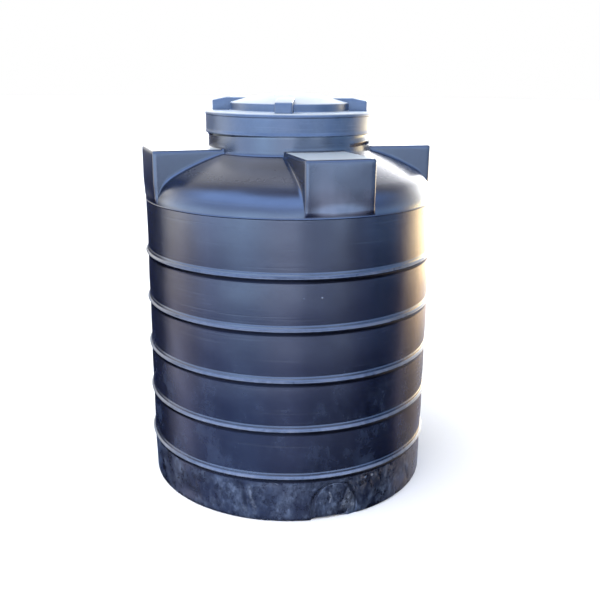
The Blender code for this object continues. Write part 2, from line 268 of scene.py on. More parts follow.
# %% Spin the section and slide the columns
def spun(section, steps):
    """A skin turned from a section. Every vertex remembers its row and its column."""
    bm = bmesh.new()
    row = bm.verts.layers.int.new("row")
    column = bm.verts.layers.int.new("column")
    bm.verts.layers.int.new("level")
    line = [bm.verts.new((0.0, -radius, height)) for radius, height in section]
    for index, vert in enumerate(line):
        vert[row] = index
    edges = [bm.edges.new(pair) for pair in zip(line, line[1:])]
    bmesh.ops.spin(
        bm, geom=line + edges, cent=(0.0, 0.0, 0.0), axis=(0.0, 0.0, 1.0), angle=math.tau,
        steps=steps, use_merge=True,
    )
    for vert in bm.verts:
        vert[column] = round(math.atan2(vert.co.x, -vert.co.y) / math.tau * steps) % steps
    return bm


def slide_columns(bm, inset):
    """Each column takes its place beside or between the lugs."""
    column = bm.verts.layers.int["column"]
    for vert in bm.verts:
        radius = vert.co.xy.length
        upper = min(radius, BODY_RADIUS) if vert.co.z > SEAM_HEIGHT else BODY_RADIUS
        angle = column_angle(vert[column], upper, inset)
        vert.co.x, vert.co.y = radius * math.sin(angle), -radius * math.cos(angle)


# %% [markdown]
# ## Raising the lugs
# A lug could be a box joined on by a Boolean, but the join would be sharp, and this one is soft all
# round. So the faces of the dome under each lug are extruded upwards in several levels. That gives the
# lug its walls and top out of the dome's own grid. Three kinds of edge are then rounded with one small
# map, which bends the corner of a square into a quarter circle.

# %% The map that rounds a corner
LEVEL_SHARES = (0.0, 0.025, 0.055, 0.09, 0.13, 0.18, 0.25, 0.37, 0.51, 0.65, 0.77, 0.87, 0.93, 0.97, 1.0)
LEVELS = len(LEVEL_SHARES) - 1


def round_off(one, other, radius):
    """Distances from two faces, moved so that the corner between them becomes a quarter circle."""
    if one >= radius or other >= radius or radius <= 0.0:
        return one, other
    a, b = 1.0 - max(0.0, one) / radius, 1.0 - max(0.0, other) / radius
    return (
        radius * (1.0 - a * math.sqrt(1.0 - b * b / 2)),
        radius * (1.0 - b * math.sqrt(1.0 - a * a / 2)),
    )


def smooth(value, start, end):
    """0 before the start, 1 after the end, and a soft step between them."""
    share = max(0.0, min(1.0, (value - start) / (end - start)))
    return share * share * (3.0 - 2.0 * share)


def clustered(count, gap, length):
    """Shares from 0 to 1 with growing gaps at both ends, for edges that are rounded there."""
    ends = [gap / length * share for share in (0.0, 1.0, 2.2, 3.8)]
    middle = count - 7
    inner = [ends[3] + (1.0 - 2 * ends[3]) * i / (middle + 1) for i in range(middle + 1)][1:]
    return ends + inner + [1.0 - share for share in reversed(ends)]


def outline_distance(x, y, inset):
    """How far inside a lug's outline a point lies, and the direction inwards there."""
    across, out = half_at(y, inset) - abs(x), LUG_FACE - inset - y
    side, corner = math.copysign(1.0, x), LUG_CORNER_RADIUS
    if across < corner and out < corner:
        size = math.hypot(corner - across, corner - out)
        return corner - size, (side * (across - corner) / size, (out - corner) / size)
    return (across, (-side, 0.0)) if across < out else (out, (0.0, -1.0))


# %% The rounded lug
class LugShape:
    """Places the vertices of a lug and of its foot, with the lug turned to the front."""

    def __init__(self, inset, section, first, last):
        self.inset, self.section, self.first, self.last = inset, section, first, last
        self.face, self.neck = LUG_FACE - inset, NECK_RADIUS - inset
        self.top = section[first][1]
        self.shares = clustered(last - first + 1, 0.003, self.face - self.neck)

    def soften_plan(self, x, y):
        """The rounded corner of the outline, seen from above."""
        half = half_at(y, self.inset)
        across, out = round_off(half - abs(x), self.face - y, LUG_CORNER_RADIUS)
        return math.copysign(half - across, x), self.face - out

    def ground(self, x, y):
        return surface_height(math.hypot(x, y), self.inset)

    def wall(self, x, y, row, level):
        """A vertex of a flank, of the top or of the side towards the neck, with its edges sharp."""
        inner = math.sqrt(self.neck**2 - x**2)
        far = inner + (self.face - inner) * self.shares[row - self.first]
        share = LEVEL_SHARES[level]
        base = self.section[row][1]
        if row > self.first + 1:
            base = self.ground(*self.soften_plan(x, y))
        along = y + (far - y) * share
        across = x * half_at(along, self.inset) / half_at(y, self.inset)
        return self.soften_plan(across, along) + (base + (self.top - base) * share,)

    def front(self, x, y, level):
        """A vertex of the flat outer face, which leaves the round shoulder in a soft step."""
        share = LEVEL_SHARES[level]
        ring = self.section[self.last][1]
        z = ring + (self.top - ring) * share
        aim = self.soften_plan(x * half_at(self.face, self.inset) / half_at(y, self.inset), self.face)
        blend = smooth(z - ring, 0.0, LUG_BLEND_HEIGHT)
        across = x + (aim[0] - x) * blend
        drawn_in = LUG_DRAW_IN * (1.0 - smooth(z - ring, 0.0, LUG_DRAW_IN_HEIGHT))
        along = y + (aim[1] - drawn_in - y) * blend
        middle = max(0.0, 1.0 - (across / LUG_HALF_WIDTH) ** 2) ** 2
        along += LUG_FACE_BULGE * middle * 4.0 * share * (1.0 - share)
        drop = (SHOULDER_RADIUS - self.inset) ** 2 - (z - SEAM_HEIGHT) ** 2
        body = SHOULDER_CENTRE[0] + math.sqrt(max(0.0, drop))
        body = math.sqrt(max(0.0, body**2 - across**2))
        along = (along + body + math.hypot(along - body, LUG_MELT * blend)) / 2
        return across, along, z

    def soften_edge(self, x, y, z):
        """The round edge between the lug's top and its walls."""
        depth, inward = outline_distance(x, y, self.inset)
        depth = max(0.0, depth)
        edge = min(LUG_EDGE_RADIUS - self.inset * 0.6, 0.45 * (self.top - self.ground(x, y)))
        moved, drop = round_off(depth, self.top - z, edge)
        move = moved - depth
        return x + inward[0] * move, y + inward[1] * move, self.top - drop

    def soften_foot(self, x, y, z):
        """The fillet between the flanks and the dome. It fades where the shoulder turns down."""
        depth, inward = outline_distance(x, y, self.inset)
        away, ground = max(0.0, -depth), self.ground(x, y)
        turn = (math.hypot(x, y) - SHOULDER_CENTRE[0]) / (SHOULDER_RADIUS - self.inset)
        flatness = smooth(math.acos(max(-1.0, min(1.0, turn))), 0.31, 0.84)
        fillet = min(LUG_FILLET_RADIUS, 0.45 * (self.top - ground)) * flatness
        moved, lift = round_off(away, z - ground, fillet)
        if moved == away:
            return x, y, z
        x, y = x + inward[0] * (away - moved), y + inward[1] * (away - moved)
        return x, y, self.ground(x, y) + lift

    def placed(self, x, y, z, local, row, level):
        """The final place of one vertex."""
        if row < self.first:
            out, up = 0.0, z - self.top
            if abs(local) <= FLANK:
                out, up = round_off(out, up, LUG_NECK_FILLET)
            return x, y + out, self.top + up
        if level == 0 and (abs(local) > FLANK or row == self.last):
            return self.soften_foot(x, y, z) if self.first + 1 < row < self.last else (x, y, z)
        if row == self.last:
            return self.soften_edge(*self.front(x, y, level))
        x, y, z = self.wall(x, y, row, level)
        if level:
            x, y, z = self.soften_edge(x, y, z)
        if abs(local) == FLANK and level < LEVELS and row > self.first + 1:
            return self.soften_foot(x, y, z)
        if abs(local) < FLANK and level:
            gap = math.hypot(x, y) - self.neck
            out, up = round_off(gap, 0.0, LUG_NECK_FILLET)
            return x, y + out - gap, z + up
        return x, y, z


# %% Extrude the footprints and place the vertices
def raise_lugs(bm, first, last):
    """Walls and tops of the four lugs, extruded level by level out of the dome."""
    row, column, level = (bm.verts.layers.int[name] for name in ("row", "column", "level"))
    for lug in range(LUG_COUNT):
        def under(vert):
            owner, local = local_column(vert[column])
            return owner == lug and abs(local) <= FLANK and first <= vert[row] <= last
        faces = [face for face in bm.faces if all(under(vert) for vert in face.verts)]
        for step in range(1, LEVELS + 1):
            grown = bmesh.ops.extrude_face_region(bm, geom=faces)["geom"]
            bmesh.ops.delete(bm, geom=[face for face in faces if face.is_valid], context="FACES")
            faces = [item for item in grown if isinstance(item, bmesh.types.BMFace)]
            for item in grown:
                if isinstance(item, bmesh.types.BMVert):
                    item[level] = step


def place_vertices(bm, shape):
    """Every vertex in reach of a lug takes its final place."""
    row, column, level = (bm.verts.layers.int[name] for name in ("row", "column", "level"))
    for vert in bm.verts:
        lug, local = local_column(vert[column])
        if abs(local) > BEYOND or not shape.first - 3 <= vert[row] <= shape.last:
            continue
        turn = Matrix.Rotation(lug * math.tau / LUG_COUNT, 3, "Z")
        spot = turn.inverted() @ vert.co
        x, y, z = shape.placed(spot.x, -spot.y, spot.z, local, vert[row], vert[level])
        vert.co = turn @ Vector((x, -y, z))


# %% Put the elements in a fixed order, and make a skin
COUNT_LIMIT = 65536


def in_one_number(parts):
    """Up to three counts as one number, because elements can be sorted by plain numbers only."""
    total = 0
    for part in parts[:3]:
        total = total * COUNT_LIMIT + part
    return total


def put_in_order(bm):
    """Extruding leaves another order each run, and merging depends on it, so all is sorted by place."""
    row, column, level = (bm.verts.layers.int[name] for name in ("row", "column", "level"))
    bm.verts.sort(key=lambda vert: in_one_number([vert[row], vert[column], vert[level]]))
    bm.verts.index_update()
    for group in (bm.edges, bm.faces):
        group.sort(key=lambda item: in_one_number(sorted(vert.index for vert in item.verts)))


def make_skin(inset):
    """The outside of the shell, or its inside when it is moved in by the wall."""
    section, first, last = shell_section(inset)
    bm = spun(section, COLUMNS)
    slide_columns(bm, inset)
    raise_lugs(bm, first, last)
    put_in_order(bm)
    place_vertices(bm, LugShape(inset, section, first, last))
    bmesh.ops.remove_doubles(bm, verts=bm.verts, dist=0.00002)
    return bm


outer_skin = make_skin(0.0)
print("outer skin:", len(outer_skin.verts), "vertices,", len(outer_skin.faces), "faces")

# %% [markdown]
# ## The base band
# The lowest band carries an arched flat, where an outlet can be fitted, and in it a low cone that
# stiffens the floor edge. The band has also been knocked about: it has a few creases and shallow dents.
# A Boolean could cut the flat, but its rim would be sharp. So the band's grid is made finer first, and
# then the vertices of the outside are pushed in, which keeps that skin in one piece.

# %% What pushes the base band in or out
FLAT_EDGE = 0.007
CONE_TOP = (0.040, 0.0865)
CONE_SLOPE = 0.47
CONE_RISE = 0.34
CREASE_WIDTH = 0.0035
# Each crease: its start and its end, as an angle off the front and a height, and its depth
CREASES = (
    (-35.9, 0.106, -33.6, 0.030, 0.0036),
    (18.3, 0.088, 20.4, 0.028, 0.0026),
    (-24.2, 0.1155, -22.0, 0.108, 0.0014),
    (-58.0, 0.085, -55.0, 0.020, 0.0024),
    (38.0, 0.070, 41.0, 0.022, 0.0022),
)
# Each dent: its angle off the front, its height, its size and its depth
DENTS = (
    (-1.9, 0.062, 0.017, 0.0022),
    (12.9, 0.1040, 0.006, 0.0022),
    (-50.0, 0.060, 0.045, 0.0020),
    (-62.0, 0.035, 0.030, 0.0022),
    (33.0, 0.050, 0.035, 0.0022),
    (110.0, 0.070, 0.050, 0.0020),
    (171.0, 0.050, 0.055, 0.0022),
    (-128.0, 0.045, 0.045, 0.0020),
)


def flat_depth(x, y, z):
    """The distance from the axis plane to which the arched flat and its cone bring the wall."""
    spring = FLAT_TOP - FLAT_HALF_WIDTH
    inside = FLAT_HALF_WIDTH - (math.hypot(x, z - spring) if z > spring else abs(x))
    width = max(0.0, (CONE_TOP[1] - z) * CONE_SLOPE)
    ridge = max(0.0, width - math.sqrt((x - CONE_TOP[0]) ** 2 + 0.000004))
    level = FLAT_REACH + CONE_RISE * ridge
    blend = smooth(inside, -0.001, FLAT_EDGE)
    return min(y, y + (level - y) * blend)


def crease_push(turn, z, crease):
    """A crease runs between two points, and the wall beside it is bent inwards."""
    start_deg, start_z, end_deg, end_z, depth = crease
    share = (z - start_z) / (end_z - start_z)
    if not -0.15 < share < 1.15:
        return 0.0
    away = (turn - (start_deg + (end_deg - start_deg) * share)) * math.radians(1.0) * BODY_RADIUS
    fade = smooth(share, -0.15, 0.15) * (1.0 - smooth(share, 0.85, 1.15))
    groove = math.exp(-((away / CREASE_WIDTH) ** 2))
    sunken_side = smooth(-away, 0.0, 0.004) * math.exp(away / 0.03)
    return depth * fade * (groove + 0.6 * sunken_side)


def base_push(co):
    """How far the wall of the base band is pushed in at a place."""
    turn = math.degrees(math.atan2(co.x, -co.y))
    push = sum(crease_push(turn, co.z, crease) for crease in CREASES)
    for at_deg, height, size, depth in DENTS:
        away = math.hypot(math.radians(turn - at_deg) * BODY_RADIUS, co.z - height) / size
        push += depth * math.exp(-(away**2) * 2.0)
    rough = noise.noise(Vector((co.x, co.y, co.z * 1.6)) * 14.0) * 0.0010
    return push + rough * smooth(co.z, 0.0, 0.02)


# %% Make the base band finer and shape it
BAND_LOW, BAND_HIGH = 0.001, 0.1195
BAND_FADE = (0.112, 0.120)
WALL_FROM = 0.36
ALL_ROUND_DEG = 180.1
FLAT_DEG = 16.0


def in_band(edge, low, high, half_deg):
    """An edge that lies in a band of heights and within an angle of the front."""
    for vert in edge.verts:
        turn = abs(math.degrees(math.atan2(vert.co.x, -vert.co.y)))
        if not (low < vert.co.z < high and turn < half_deg and vert.co.xy.length > WALL_FROM):
            return False
    return True


for half_deg in (ALL_ROUND_DEG, FLAT_DEG):
    fine_edges = [edge for edge in outer_skin.edges if in_band(edge, BAND_LOW, BAND_HIGH, half_deg)]
    bmesh.ops.subdivide_edges(outer_skin, edges=fine_edges, cuts=1, use_grid_fill=True)

for vert in outer_skin.verts:
    if vert.co.z < RIB_LOWEST and vert.co.xy.length > WALL_FROM:
        fade = 1.0 - smooth(vert.co.z, *BAND_FADE)
        radius = vert.co.xy.length
        vert.co.xy *= 1.0 - base_push(vert.co) * fade / radius
        if vert.co.y < 0.0 and abs(vert.co.x) < FLAT_HALF_WIDTH + 0.01:
            vert.co.y = -flat_depth(vert.co.x, -vert.co.y, vert.co.z)
print("outer skin with its base band:", len(outer_skin.faces), "faces")

# %% [markdown]
# ## A wall that isn't quite round
# A big thin moulding cools unevenly and then carries half a tonne of water, so its bands swell a little
# and its wall is slightly wavy. That shows in the highlights more than in the outline. A Displace
# modifier could do it. A short function is clearer here: a slow noise and a slight swelling between the
# ribs move the outside by less than two millimetres.

# %% Let the wall swell and waver
def wall_waver(co):
    """How far the wall stands out from its true circle."""
    slow = noise.noise(Vector((co.x * 4.0, co.y * 4.0, co.z * 7.0))) * 0.0016
    quick = noise.noise(Vector((co.x, co.y, co.z)) * 17.0 + Vector((3.0, 5.0, 7.0))) * 0.0005
    band = (co.z - RIB_LOWEST - 0.011) % RIB_PITCH / RIB_PITCH
    ribbed = RIB_LOWEST < co.z < RIB_LOWEST + 4.2 * RIB_PITCH
    swell = 0.0009 * math.sin(math.pi * band) if ribbed else 0.0
    return slow + quick + swell


for vert in outer_skin.verts:
    radius = vert.co.xy.length
    fade = smooth(radius, 0.26, 0.36) * smooth(vert.co.z, 0.004, 0.10)
    if fade:
        vert.co.xy *= 1.0 + wall_waver(vert.co) * fade / radius


# %% [markdown]
# ## One closed body
# The inside of the tank is a second skin, made by the same steps a wall's thickness further in. A
# Solidify modifier could give it, but at the lugs' round corners its faces would cross. The two skins
# meet in one strip round the rim, and then the shell is closed. The inside isn't pushed in with the base
# band. Behind the small dents that is fine. At the arched flat it is a fault that is left to mend: the
# inside stands up to 13 millimetres in front of the flat there.


# %% Join both skins at the rim
def close_shell(outer, inner):
    """One closed body: the inside is turned to face the hollow, and both rims are bridged."""
    bmesh.ops.recalc_face_normals(inner, faces=inner.faces)
    carrier = bpy.data.meshes.new("inside")
    inner.to_mesh(carrier)
    inner.free()
    outer.from_mesh(carrier)
    bpy.data.meshes.remove(carrier)
    rims = [edge for edge in outer.edges if edge.is_boundary]
    bmesh.ops.bridge_loops(outer, edges=rims)
    bmesh.ops.recalc_face_normals(outer, faces=outer.faces)
    return outer


shell = close_shell(outer_skin, make_skin(WALL))
loose = sum(len(edge.link_faces) != 2 for edge in shell.edges)
print("shell:", len(shell.faces), "faces, edges without two faces:", loose)


# %% Turn a bmesh into a piece
def piece_from(bm, name, body, replaced=()):
    """A finished piece at the origin, riding on its body."""
    mesh = bpy.data.meshes.new(name)
    bm.to_mesh(mesh)
    bm.free()
    mesh.shade_smooth()
    mesh.set_sharp_from_angle(angle=math.radians(40.0))
    piece = bpy.data.objects.new(name, mesh)
    bpy.context.scene.collection.objects.link(piece)
    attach(piece, body)
    if replaced:
        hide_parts(*replaced)
    print(name, "has", sum(len(face.vertices) - 2 for face in mesh.polygons), "triangles")
    return piece


tank = piece_from(shell, "moulded_shell", "tank", ["tank_shell"])

# %% [markdown]
# ## The neck's thread
# One coarse ridge winds up the neck, and the lid's own ridge runs in its gaps. A Screw modifier could
# wind it, but its ends would be cut off square. So a small rounded section is carried round and up by a
# spin that also moves along the axis, and both ends then sink back into the wall, so the lid finds its
# start easily. The ridge's foot lies a little inside the wall, so no gap can show.

# %% Sizes of the thread
THREAD_PITCH = 0.034
THREAD_DEPTH = 0.0035
THREAD_STEPS = 96
THREAD_SUNK = 0.002
THREAD_END_DEG = 14.0
NECK_RIDGE_WIDTHS = (0.022, 0.012)
LID_RIDGE_WIDTHS = (0.009, 0.004)
NECK_THREAD_START_DEG = 26.25
NECK_THREAD_FIRST = NECK_START + 0.0237
NECK_THREAD_LAST = NECK_TOP - 0.0126


def ridge_section(wall, depth, widths):
    """Half a wave: a flat crest with round flanks, and a foot inside the wall."""
    base, crest = widths
    points = [(wall - math.copysign(THREAD_SUNK, depth), -base / 2)]
    for i in range(9):
        share = i / 8
        rise = math.sin(math.pi * share) ** 0.6 if 0 < share < 1 else 0.0
        span = crest + (base - crest) * (1.0 - rise)
        points.append((wall + depth * rise, (share - 0.5) * span))
    return points + [(wall - math.copysign(THREAD_SUNK, depth), base / 2)]


def thread_ridge(wall, depth, widths, first, last, start_deg):
    """A closed helical ridge between two heights. Its widths are those of its foot and its crest."""
    bm = bmesh.new()
    section = ridge_section(wall, depth, widths)
    start = Matrix.Rotation(math.radians(start_deg - 90.0), 3, "Z")
    ring = [bm.verts.new(start @ Vector((radius, 0.0, first + up))) for radius, up in section]
    edges = [bm.edges.new((ring[i - 1], ring[i])) for i in range(len(ring))]
    steps = round((last - first) / THREAD_PITCH * THREAD_STEPS)
    bmesh.ops.spin(
        bm, geom=ring + edges, cent=(0.0, 0.0, 0.0), axis=(0.0, 0.0, 1.0),
        dvec=(0.0, 0.0, THREAD_PITCH / THREAD_STEPS), angle=steps * math.tau / THREAD_STEPS, steps=steps,
    )
    for index, vert in enumerate(bm.verts):
        ring_index = index // len(section)
        from_end = min(ring_index, steps - ring_index) * 360.0 / THREAD_STEPS
        rise = smooth(from_end, -2.0, THREAD_END_DEG)
        radius = vert.co.xy.length
        if (radius - wall) * depth > 0.0:
            vert.co.xy *= (wall + (radius - wall) * rise) / radius
    bmesh.ops.holes_fill(bm, edges=[edge for edge in bm.edges if edge.is_boundary], sides=0)
    bmesh.ops.recalc_face_normals(bm, faces=bm.faces)
    return bm


neck_thread = thread_ridge(
    NECK_RADIUS, THREAD_DEPTH, NECK_RIDGE_WIDTHS, NECK_THREAD_FIRST, NECK_THREAD_LAST, NECK_THREAD_START_DEG
)
thread_piece = piece_from(neck_thread, "neck_thread", "tank", ["tank_shell"])

# %% [markdown]
# ## The lid
# The lid is a second moulding: a skirt that hangs over the neck, a flat shelf, and a domed drum with four
# grips for turning it. It could be one turned wall with loose grips on top, but in the mould all is one
# skin, and the grips are hollow. So the outside and the hollow are turned as two solids. Bevelled blocks
# are joined to the outside by a Boolean, smaller ones to the hollow, and the hollow is then cut out.

# %% Sizes of the lid
LID_RADIUS = lid_high.x
LID_TOP = NECK_TOP + 0.0096
LID_WALL = 0.004
LID_UNDERSIDE = LID_TOP - LID_WALL
SKIRT_BOTTOM = lid_low.z
LID_INNER_RADIUS = LID_RADIUS - 0.0035
DRUM_EDGE_RADIUS = 0.005
SHELF_FILLET_RADIUS = 0.004
SHELF_EDGE_RADIUS = 0.0075
SHELF_EDGE_DROP = 0.0070
BEAD_HEIGHT = 0.0062
BEAD_DEPTH = 0.0012
DRUM_RADIUS = LID_RADIUS - 0.068
DRUM_TOP = LID_TOP + 0.0228
DOME_RISE = lid_high.z - DRUM_TOP
GRIP_COUNT = 4
GRIP_FIRST_DEG = -22.5
GRIP_HALF_WIDTH = 0.023
GRIP_REACH = DRUM_RADIUS + 0.048
GRIP_ROOT = 0.080
GRIP_TOP = LID_TOP + 0.0356
GRIP_EDGE_RADIUS = 0.005
LID_STEPS = 160


def drum_dome(inset, steps):
    """The drum's domed top from its middle to its rim."""
    across = DRUM_RADIUS - DRUM_EDGE_RADIUS
    radius = (across**2 + DOME_RISE**2) / (2 * DOME_RISE)
    edge_deg = math.degrees(math.acos(across / radius))
    return arc((0.0, DRUM_TOP + DOME_RISE - radius), radius - inset, 90.0, edge_deg, steps), edge_deg


def lid_outside():
    """The lid's outer section, closed across the bottom."""
    dome, edge_deg = drum_dome(0.0, 14)
    drum, shelf = DRUM_EDGE_RADIUS, LID_RADIUS - SHELF_EDGE_RADIUS
    fillet = SHELF_FILLET_RADIUS
    rows = dome[:-1] + arc((DRUM_RADIUS - drum, DRUM_TOP - drum), drum, edge_deg, 0.0, 5)
    rows += between(rows[-1], (DRUM_RADIUS, LID_TOP + fillet), 4)
    rows += arc((DRUM_RADIUS + fillet, LID_TOP + fillet), fillet, 180.0, 270.0, 4)
    rows += between(rows[-1], (shelf, LID_TOP), 5)
    rows += arc((shelf, LID_TOP - SHELF_EDGE_DROP), SHELF_EDGE_RADIUS, 86.0, 0.0, 7)
    skirt, foot = LID_RADIUS - BEAD_DEPTH, SKIRT_BOTTOM
    bead = LID_TOP - BEAD_HEIGHT - 0.003
    rows += [(LID_RADIUS, bead), (LID_RADIUS - 0.0003, bead - 0.0008), (skirt, bead - 0.0016)]
    rows += between(rows[-1], (skirt, foot + 0.0065), 7)
    rows += [(skirt, foot + 0.0065), (skirt + 0.0007, foot + 0.0052), (skirt + 0.0009, foot + 0.0035)]
    return rows + arc((skirt - 0.0009, foot + 0.0018), 0.0018, 0.0, -90.0, 4) + [(0.0, foot)]


def lid_hollow():
    """What is hollow in the lid, carried on below its edge."""
    dome, _ = drum_dome(LID_WALL, 8)
    inner = DRUM_RADIUS - LID_WALL
    below = SKIRT_BOTTOM - 0.01
    drum = [(inner - 0.001, DRUM_TOP - 0.006), (inner, DRUM_TOP - 0.008), (inner, LID_UNDERSIDE)]
    skirt = [(LID_INNER_RADIUS, LID_UNDERSIDE), (LID_INNER_RADIUS, below), (0.0, below)]
    return dome[:-1] + drum + skirt


# %% The grips
GRIP_SLOPE = (0.040, 0.008)


def is_shown(edge):
    """An edge of a grip that stands above the shelf and outside the grip's root."""
    above_shelf = max(vert.co.z for vert in edge.verts) > LID_TOP
    return above_shelf and min(vert.co.y for vert in edge.verts) < -GRIP_ROOT


def grip_blocks(inset):
    """Four radial grips, level on top, with a sloped outer end."""
    bm = bmesh.new()
    half, reach, top = GRIP_HALF_WIDTH - inset, GRIP_REACH - inset, GRIP_TOP - inset
    bottom = LID_UNDERSIDE + 0.0015 - inset * 2
    slope = [(-reach, top - GRIP_SLOPE[1]), (-(reach - GRIP_SLOPE[0]), top)]
    outline = [(-GRIP_ROOT, bottom), (-reach, bottom)] + slope + [(-GRIP_ROOT, top)]
    side = bm.faces.new([bm.verts.new((-half, y, z)) for y, z in outline])
    grown = bmesh.ops.extrude_face_region(bm, geom=[side])["geom"]
    far = [item for item in grown if isinstance(item, bmesh.types.BMVert)]
    bmesh.ops.translate(bm, verts=far, vec=(2 * half, 0.0, 0.0))
    if not inset:
        bmesh.ops.bevel(
            bm, geom=[edge for edge in bm.edges if is_shown(edge)], offset=GRIP_EDGE_RADIUS,
            offset_type="OFFSET", segments=4, profile=0.5, affect="EDGES", clamp_overlap=True, material=-1,
        )
    first = bm.verts[:] + bm.edges[:] + bm.faces[:]
    for index in range(1, GRIP_COUNT):
        copy = bmesh.ops.duplicate(bm, geom=first)["geom"]
        verts = [item for item in copy if isinstance(item, bmesh.types.BMVert)]
        turn = Matrix.Rotation(math.tau * index / GRIP_COUNT, 3, "Z")
        bmesh.ops.rotate(bm, cent=(0.0, 0.0, 0.0), matrix=turn, verts=verts)
    turn = Matrix.Rotation(math.radians(GRIP_FIRST_DEG), 3, "Z")
    bmesh.ops.rotate(bm, cent=(0.0, 0.0, 0.0), matrix=turn, verts=bm.verts)
    bmesh.ops.recalc_face_normals(bm, faces=bm.faces)
    return bm


# %% Working solids and Booleans
def solid(bm, name):
    """A working object for the Booleans."""
    bmesh.ops.remove_doubles(bm, verts=bm.verts, dist=0.00001)
    bmesh.ops.recalc_face_normals(bm, faces=bm.faces)
    mesh = bpy.data.meshes.new(name)
    bm.to_mesh(mesh)
    bm.free()
    made = bpy.data.objects.new(name, mesh)
    bpy.context.scene.collection.objects.link(made)
    return made


def combined(target, steps):
    """The mesh of a target after its Booleans. The target and the tools are removed."""
    for tool, operation in steps:
        cut = target.modifiers.new(tool.name, "BOOLEAN")
        cut.object, cut.operation, cut.solver = tool, operation, "EXACT"
    graph = bpy.context.evaluated_depsgraph_get()
    bm = bmesh.new()
    bm.from_object(target, graph)
    for used in [target] + [tool for tool, _ in steps]:
        bpy.data.objects.remove(used)
    return bm


# %% Join the lid
LID_THREAD_FIRST = SKIRT_BOTTOM + 0.0065
LID_THREAD_LAST = NECK_TOP - 0.0069
LID_THREAD_TURN = 360.0 * (LID_THREAD_FIRST - NECK_THREAD_FIRST) / THREAD_PITCH + 180.0
hollow = solid(spun(lid_hollow(), LID_STEPS), "lid_hollow")
hollow_bm = combined(hollow, [(solid(grip_blocks(LID_WALL), "grip_hollows"), "UNION")])
lid_ridge = thread_ridge(
    LID_INNER_RADIUS, -THREAD_DEPTH, LID_RIDGE_WIDTHS, LID_THREAD_FIRST, LID_THREAD_LAST,
    NECK_THREAD_START_DEG + LID_THREAD_TURN,
)
lid_bm = combined(
    solid(spun(lid_outside(), LID_STEPS), "lid_outside"),
    [(solid(grip_blocks(0.0), "grips"), "UNION"), (solid(hollow_bm, "lid_cavity"), "DIFFERENCE")],
)
lid_piece = piece_from(lid_bm, "screw_lid", "lid", ["lid"])
lid_ridge_piece = piece_from(lid_ridge, "lid_thread", "lid", ["lid"])

# %% [markdown]
# ## A small language for materials
# Shader maths gets long when each node is wired by hand. Here a value that runs through a material is
# wrapped, so that it can be added and multiplied like a number, and one method adds any other node.


# %% A value that can be reckoned with
class Value:
    """A number or a vector that runs through a material."""

    def __init__(self, finish, socket):
        self.finish, self.socket = finish, socket

    def __add__(self, other):
        return self.finish.math("ADD", self, other)

    def __sub__(self, other):
        return self.finish.math("SUBTRACT", self, other)

    def __rsub__(self, other):
        return self.finish.math("SUBTRACT", other, self)

    def __mul__(self, other):
        return self.finish.math("MULTIPLY", self, other)

    def __pow__(self, other):
        return self.finish.math("POWER", self, other)

    def __neg__(self):
        return 0.0 - self

    def __abs__(self):
        return self.finish.math("ABSOLUTE", self)

    __radd__, __rmul__ = __add__, __mul__


def set_stops(ramp, stops):
    """Gives a ramp its stops, each a place from 0 to 1 and a colour, with soft steps between them."""
    ramp.interpolation = "EASE"
    while len(ramp.elements) < len(stops):
        ramp.elements.new(0.5)
    for element, (place, colour) in zip(ramp.elements, stops):
        element.position, element.color = place, (*colour, 1.0)


# %% A node tree and the short ways to build it
class Finish:
    """One node tree, of a material or of the world."""

    def __init__(self, owner):
        owner.use_nodes = True
        self.owner, self.tree = owner, owner.node_tree

    def node(self, kind, settings=None, inputs=None, output=0):
        """Any node, from its type, its settings and the values or numbers of its sockets."""
        made = self.tree.nodes.new(f"ShaderNode{kind}")
        for name, value in (settings or {}).items():
            if name == "stops":
                set_stops(made.color_ramp, value)
            else:
                setattr(made, name, value)
        for key, value in (inputs or {}).items():
            self.put(made.inputs[key], value)
        return Value(self, made.outputs[output])

    def put(self, socket, value):
        """Links a value to a socket, or sets a plain number or colour on it."""
        if isinstance(value, Value):
            self.tree.links.new(value.socket, socket)
        elif socket.type == "RGBA" and len(value) == 3:
            socket.default_value = (*value, 1.0)
        else:
            socket.default_value = value

    def math(self, operation, one, other=0.0):
        return self.node("Math", {"operation": operation}, {0: one, 1: other})

    def strongest(self, values):
        """The greatest of several values at each place."""
        total = values[0]
        for value in values[1:]:
            total = self.math("MAXIMUM", total, value)
        return total

    def step(self, value, start, end):
        """0 at the start and 1 at the end, with a soft step between them."""
        inputs = {"Value": value, "From Min": start, "From Max": end}
        return self.node("MapRange", {"interpolation_type": "SMOOTHSTEP"}, inputs)

    def axes(self, vector):
        """The three parts of a vector."""
        return [self.node("SeparateXYZ", None, {0: vector}, axis) for axis in range(3)]

    def noise(self, place, stretch, detail=4.0, roughness=0.55, shift=(0.0, 0.0, 0.0)):
        """A noise whose grain has its own size along each axis, in waves per metre."""
        where = self.node("Mapping", None, {"Vector": place, "Scale": stretch, "Location": shift})
        inputs = {"Vector": where, "Scale": 1.0, "Detail": detail, "Roughness": roughness}
        return self.node("TexNoise", None, inputs)

    def patches(self, place, stretch, between, detail, roughness, shift=(0.0, 0.0, 0.0)):
        """Patches of a noise: 0 below the first value of between, 1 above the second."""
        return self.step(self.noise(place, stretch, detail, roughness, shift), *between)

    def mix(self, factor, one, other, blend="MIX"):
        """Two colours in one. A Mix node's colour sockets are 6 and 7, and its colour result is 2."""
        settings = {"data_type": "RGBA", "blend_type": blend}
        return self.node("Mix", settings, {0: factor, 6: one, 7: other}, 2)

    def layers(self, colour, coats):
        """A ground colour under several coats, each an amount from 0 to 1 and a colour."""
        for amount, tint in coats:
            colour = self.mix(amount, colour, tint)
        return colour

    def bump(self, height, strength, distance):
        return self.node("Bump", None, {"Strength": strength, "Distance": distance, "Height": height})


